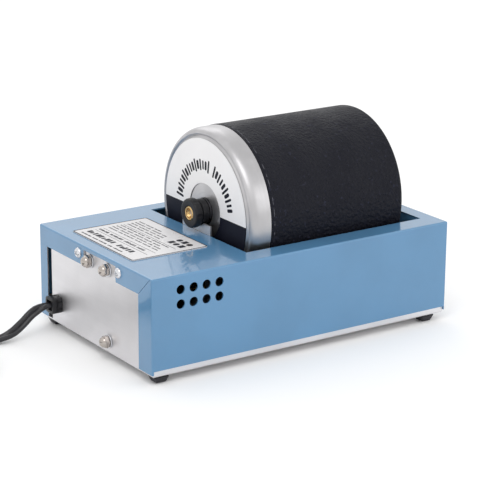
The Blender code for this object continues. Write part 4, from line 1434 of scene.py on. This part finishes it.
class BARREL_OT_lid(bpy.types.Operator):
    """Adds the spun outer lid, the two-tone label, the inner lid, stud and washer"""

    bl_idname = "tumbler.lid"
    bl_label = "Lid"

    def outer_lid(self):
        face, end = LID_LOW.x, LID_HIGH.x
        wide, hole, wall = (LID_HIGH.z - LID_LOW.z) / 2, 0.0034, 0.0009
        # (radius, depth behind the face): the flat, the raised bead and the rolled rim
        outside = [(hole, 0), (0.0506, 0), (0.0510, 0.0003), (0.0516, 0.0011)]
        outside += [(0.0521, 0.0014), (0.0527, 0.0011), (0.0533, 0.0004), (0.0539, 0.0002)]
        outside += [(0.0546, 0.0004), (0.0553, 0.0010), (0.0560, 0.0018), (0.0566, 0.0028)]
        outside += [(0.0571, 0.0041), (wide - 0.0001, 0.0056), (wide, 0.0075)]
        inside = [(wide - wall, 0.0063), (0.0555, 0.0030), (0.0539, 0.0016), (0.0521, 0.0023)]
        inside += [(0.0505, wall), (hole, wall)]
        profile = [(radius, face + depth) for radius, depth in outside]
        profile += [(wide, end), (wide - wall, end)]
        profile += [(radius, face + depth) for radius, depth in inside]
        place = ("barrel", "spun_aluminium", "spun", "outer_lid")
        turned_piece("spun_lid", profile, SPIN, 192, 40, *place)

    def half_ring(self, name, upper, outer, inner, x):
        """One half of the label's ring, a hair's breadth clear of the other half."""
        end = x + LABEL_FILM
        ring = turned(name, [(inner, x), (outer, x), (outer, end), (inner, end)], SPIN, 192)
        enter_edit()
        bpy.ops.mesh.select_all(action="SELECT")
        bpy.ops.mesh.bisect(
            plane_co=(0, *SPIN),
            plane_no=(0, 0, 1),
            use_fill=True,
            clear_inner=upper,
            clear_outer=not upper,
        )
        bpy.ops.mesh.select_all(action="SELECT")
        bpy.ops.mesh.normals_make_consistent(inside=False)
        leave_edit()
        ring.data.transform(Matrix.Translation((0, 0, 0.00001 if upper else -0.00001)))
        return ring

    def mark(self, degrees, tall, wide, x):
        """A rounded bar that points at the axis; 0 degrees is the vented side and 90 is up."""
        half = Vector((0.00004, wide / 2, tall / 2))
        bar = round_off(block("mark", -half, half), along(0), wide * 0.45, 3)
        angle = math.radians(degrees)
        radius = 0.0320
        place = (x, AXIS.y - radius * math.cos(angle), AXIS.z + radius * math.sin(angle))
        bar.data.transform(Matrix.Rotation(math.pi / 2 - angle, 4, "X"))
        bar.data.transform(Matrix.Translation(place))
        return bar

    def label(self, radius):
        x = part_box("lid_label")[1].x - LABEL_FILM
        hole = 0.0192
        white = self.half_ring("lid_label_piece", True, radius, hole, x)
        coat(white.data, "paper")
        black = self.half_ring("label_black", False, radius, hole, x)
        marks = [black]
        for first, last in ((172, 82), (69, 13)):
            count = round((first - last) / 6.0)
            for i in range(count + 1):
                degrees = first + (last - first) * i / count
                tall = (0.0092, 0.0064, 0.0080, 0.0064, 0.0064)[i % 5]
                wide = (0.0017, 0.0026, 0.0017, 0.0017, 0.0024)[i % 5]
                marks.append(self.mark(degrees, tall, wide, x - 0.00003))
        for mark in marks:
            coat(mark.data, "ink")
        label = smooth(joined("lid_label_piece", white, *marks), 20)
        settle(label, "barrel", "label_film", None, "lid_label")

    def stud(self):
        """The threaded stud, with the flat head that holds it behind the inner lid."""
        low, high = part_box("lid_stud")
        crest, root, head, pitch = 0.0031, 0.00275, 0.0080, 0.001
        profile = [(0.0018, low.x), (0.0024, low.x + 0.0005)]
        for i in range(15):
            thread = low.x + i * pitch
            profile += [(crest, thread + 0.0009), (root, thread + 0.0014)]
        profile += [(crest, high.x - 0.0026), (crest, high.x - 0.0020)]
        profile += [(head - 0.0006, high.x - 0.0020), (head, high.x - 0.0014)]
        profile += [(head, high.x - 0.0005), (head - 0.0006, high.x)]
        place = ("barrel", "steel", "steel", "lid_stud")
        turned_piece("threaded_stud", profile, SPIN, 64, 25, *place, closed=False)

    def execute(self, context):
        self.outer_lid()
        self.label(context.scene.tumbler_sizes.label_radius)
        where = ("clamp_washer", "steel", "oxide", "lid_washer")
        flat_washer("clamp_washer_piece", 0.0034, 0.0003, SPIN, 96, *where)
        self.stud()
        paint_nodes("steel", "inner_lid")
        return {"FINISHED"}


class BARREL_OT_knob(bpy.types.Operator):
    """Adds the fluted clamp knob and its brass insert"""

    bl_idname = "tumbler.knob"
    bl_label = "Knob"

    def knob(self):
        front, base = KNOB_LOW.x, KNOB_HIGH.x
        wide, hub, bore = 0.0103, 0.0089, 0.0052
        profile = [(bore, front + 0.0004), (bore + 0.0004, front), (wide - 0.0016, front)]
        profile += [*arc(0.0012, (wide - 0.0012, front + 0.0012), -90, 0, 4)]
        profile += [(wide, front + 0.0040)]
        profile += [*arc(0.0010, (wide - 0.0010, front + 0.0044), 0, 80, 4)]
        profile += [(hub - 0.0009, front + 0.0058), (hub - 0.0009, front + 0.0064)]
        profile += [(hub, front + 0.0068), (hub, base - 0.0004), (hub - 0.0004, base), (bore, base)]
        knob = turned("clamp_knob_piece", profile, SPIN, 144)
        flutes, reach = [], wide + 0.0032
        for i in range(6):
            angle = i * math.tau / 6
            centre = (AXIS.y + reach * math.cos(angle), AXIS.z + reach * math.sin(angle))
            flutes.append(rod("flute", 0.0036, front - 0.002, base + 0.002, centre))
        cut(knob, joined("flutes", *flutes))
        soften(knob, 0.00025, 2, 35)
        settle(smooth(knob), "clamp_knob", "black_plastic", "plastic", "lid_knob")

    def insert(self):
        """The brass bush in the knob, threaded inside."""
        low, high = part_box("knob_insert")
        edge, crest, root, pitch = (high.y - low.y) / 2, 0.0034, 0.0037, 0.001
        profile = [(0.0036, low.x + 0.0002), (0.0038, low.x), (edge - 0.0004, low.x)]
        profile += [(edge, low.x + 0.0004), (edge, high.x), (crest, high.x)]
        for i in range(10):
            thread = high.x - i * pitch
            profile += [(crest, thread - 0.0006), (root, thread - 0.0011)]
        place = ("clamp_knob", "brass", "brass", "knob_insert")
        turned_piece("brass_insert", profile, SPIN, 72, 25, *place)

    def execute(self, context):
        self.knob()
        self.insert()
        return {"FINISHED"}


# Drive


class DRIVE_OT_rollers(bpy.types.Operator):
    """Adds the drive and idler rollers with their bearings and clips"""

    bl_idname = "tumbler.rollers"
    bl_label = "Rollers"

    def roller(self, name, centre, slot, finish):
        """A ground shaft and the sleeve that the barrel lies on."""
        body, chamfer = f"{name}_roller", 0.0005
        low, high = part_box(f"{name}_shaft")
        profile = [(SHAFT_RADIUS - chamfer, low.x), (SHAFT_RADIUS, low.x + chamfer)]
        profile += [(SHAFT_RADIUS, high.x - chamfer), (SHAFT_RADIUS - chamfer, high.x)]
        place = (body, "steel", "steel", f"{name}_shaft")
        turned_piece(f"{name}_rod", profile, centre, 64, 32, *place, closed=False)

        low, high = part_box(f"{name}_sleeve")
        bore, edge, chamfer = SHAFT_RADIUS + 0.0003, SLEEVE_RADIUS, 0.0006
        profile = [(bore, low.x), (edge - chamfer, low.x), (edge, low.x + chamfer)]
        profile += [(edge, high.x - chamfer), (edge - chamfer, high.x), (bore, high.x)]
        place = (body, slot, finish, f"{name}_sleeve")
        turned_piece(f"{name}_tube", profile, centre, 96, 32, *place)

    def bush(self, name, side, centre):
        """A flanged nylon bearing, its flange on the inner side of the end panel."""
        node = f"bearing_{name}_{side}"
        low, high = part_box(node)
        start, tip, way = (high.x, low.x, -1) if side == "left" else (low.x, high.x, 1)
        bore, flange, neck = SHAFT_RADIUS + 0.0003, 0.0072, 0.0050
        profile = [(bore, start), (flange - 0.0003, start), (flange, start + way * 0.0003)]
        profile += [(flange, start + way * 0.0014), (neck, start + way * 0.0014)]
        profile += [(neck, tip - way * 0.0004), (neck - 0.0004, tip), (bore, tip)]
        place = ("case", "white_nylon", "nylon", node)
        turned_piece(f"bush_{name}_{side}", profile, centre, 80, 32, *place)

    def execute(self, context):
        for name, slot, finish in (
            ("drive", "soft_rubber", "soft"),
            ("idler", "white_nylon", "nylon"),
        ):
            middle = centre_of(f"{name}_shaft")
            self.roller(name, (middle.y, middle.z), slot, finish)
            for side in ("left", "right"):
                self.bush(name, side, (middle.y, middle.z))
                paint_nodes("steel", f"clip_{name}_{side}")
        paint_nodes("plastic", "drive_wheel")
        paint_nodes("soft", "drive_belt")
        return {"FINISHED"}


class DRIVE_OT_motor(bpy.types.Operator):
    """Finishes the motor, its fixings and the inner lead"""

    bl_idname = "tumbler.motor"
    bl_label = "Motor"

    def execute(self, context):
        paint_nodes("core", "motor_stator", "motor_rotor")
        paint_nodes("tape", "motor_coil")
        paint_nodes("sheet", "motor_bracket_outer", "motor_bracket_inner")
        paint_nodes("steel", "motor_shaft")
        paint_nodes("plastic", "cooling_fan", "cord_clip")
        paint_nodes("brass", "motor_pulley")
        paint_nodes("zinc", "motor_stud_upper", "motor_stud_lower", "clip_screw")
        paint_nodes("vinyl", "inner_lead")
        return {"FINISHED"}


class VIEW3D_PT_tumbler(bpy.types.Panel):
    """Lists the tumbler's pieces and settings"""

    bl_label = "Rock tumbler"
    bl_idname = "VIEW3D_PT_tumbler"
    bl_space_type = "VIEW_3D"
    bl_region_type = "UI"
    bl_category = "Tumbler"

    def draw(self, context):
        layout = self.layout
        for group in (context.scene.tumbler_sizes, context.scene.tumbler_colours):
            box = layout.box()
            for name in group.bl_rna.properties.keys():
                if name not in {"rna_type", "name"}:
                    box.prop(group, name)
        for operator in OPERATORS:
            layout.operator(operator.bl_idname)


OPERATORS = (
    STAGE_OT_studio,
    CORD_OT_power_cord,
    CORD_OT_entry,
    CASE_OT_cover,
    CASE_OT_chassis,
    CASE_OT_feet,
    CASE_OT_fasteners,
    CASE_OT_rating_plate,
    BARREL_OT_shell,
    BARREL_OT_lid,
    BARREL_OT_knob,
    DRIVE_OT_rollers,
    DRIVE_OT_motor,
)
CLASSES = (TumblerSizes, TumblerColours, *OPERATORS, VIEW3D_PT_tumbler)


def register():
    for each in CLASSES:
        bpy.utils.register_class(each)
    bpy.types.Scene.tumbler_sizes = bpy.props.PointerProperty(type=TumblerSizes)
    bpy.types.Scene.tumbler_colours = bpy.props.PointerProperty(type=TumblerColours)


def unregister():
    del bpy.types.Scene.tumbler_colours
    del bpy.types.Scene.tumbler_sizes
    for each in reversed(CLASSES):
        bpy.utils.unregister_class(each)


def main():
    register()
    FINISHES.update(make_finishes(bpy.context.scene.tumbler_colours))
    bpy.ops.tumbler.studio()
    bpy.ops.tumbler.power_cord()
    bpy.ops.tumbler.cord_entry()
    bpy.ops.tumbler.cover()
    bpy.ops.tumbler.chassis()
    bpy.ops.tumbler.feet()
    bpy.ops.tumbler.fasteners()
    bpy.ops.tumbler.rating_plate()
    bpy.ops.tumbler.barrel()
    bpy.ops.tumbler.lid()
    bpy.ops.tumbler.knob()
    bpy.ops.tumbler.rollers()
    bpy.ops.tumbler.motor()


if __name__ == "__main__":
    main()
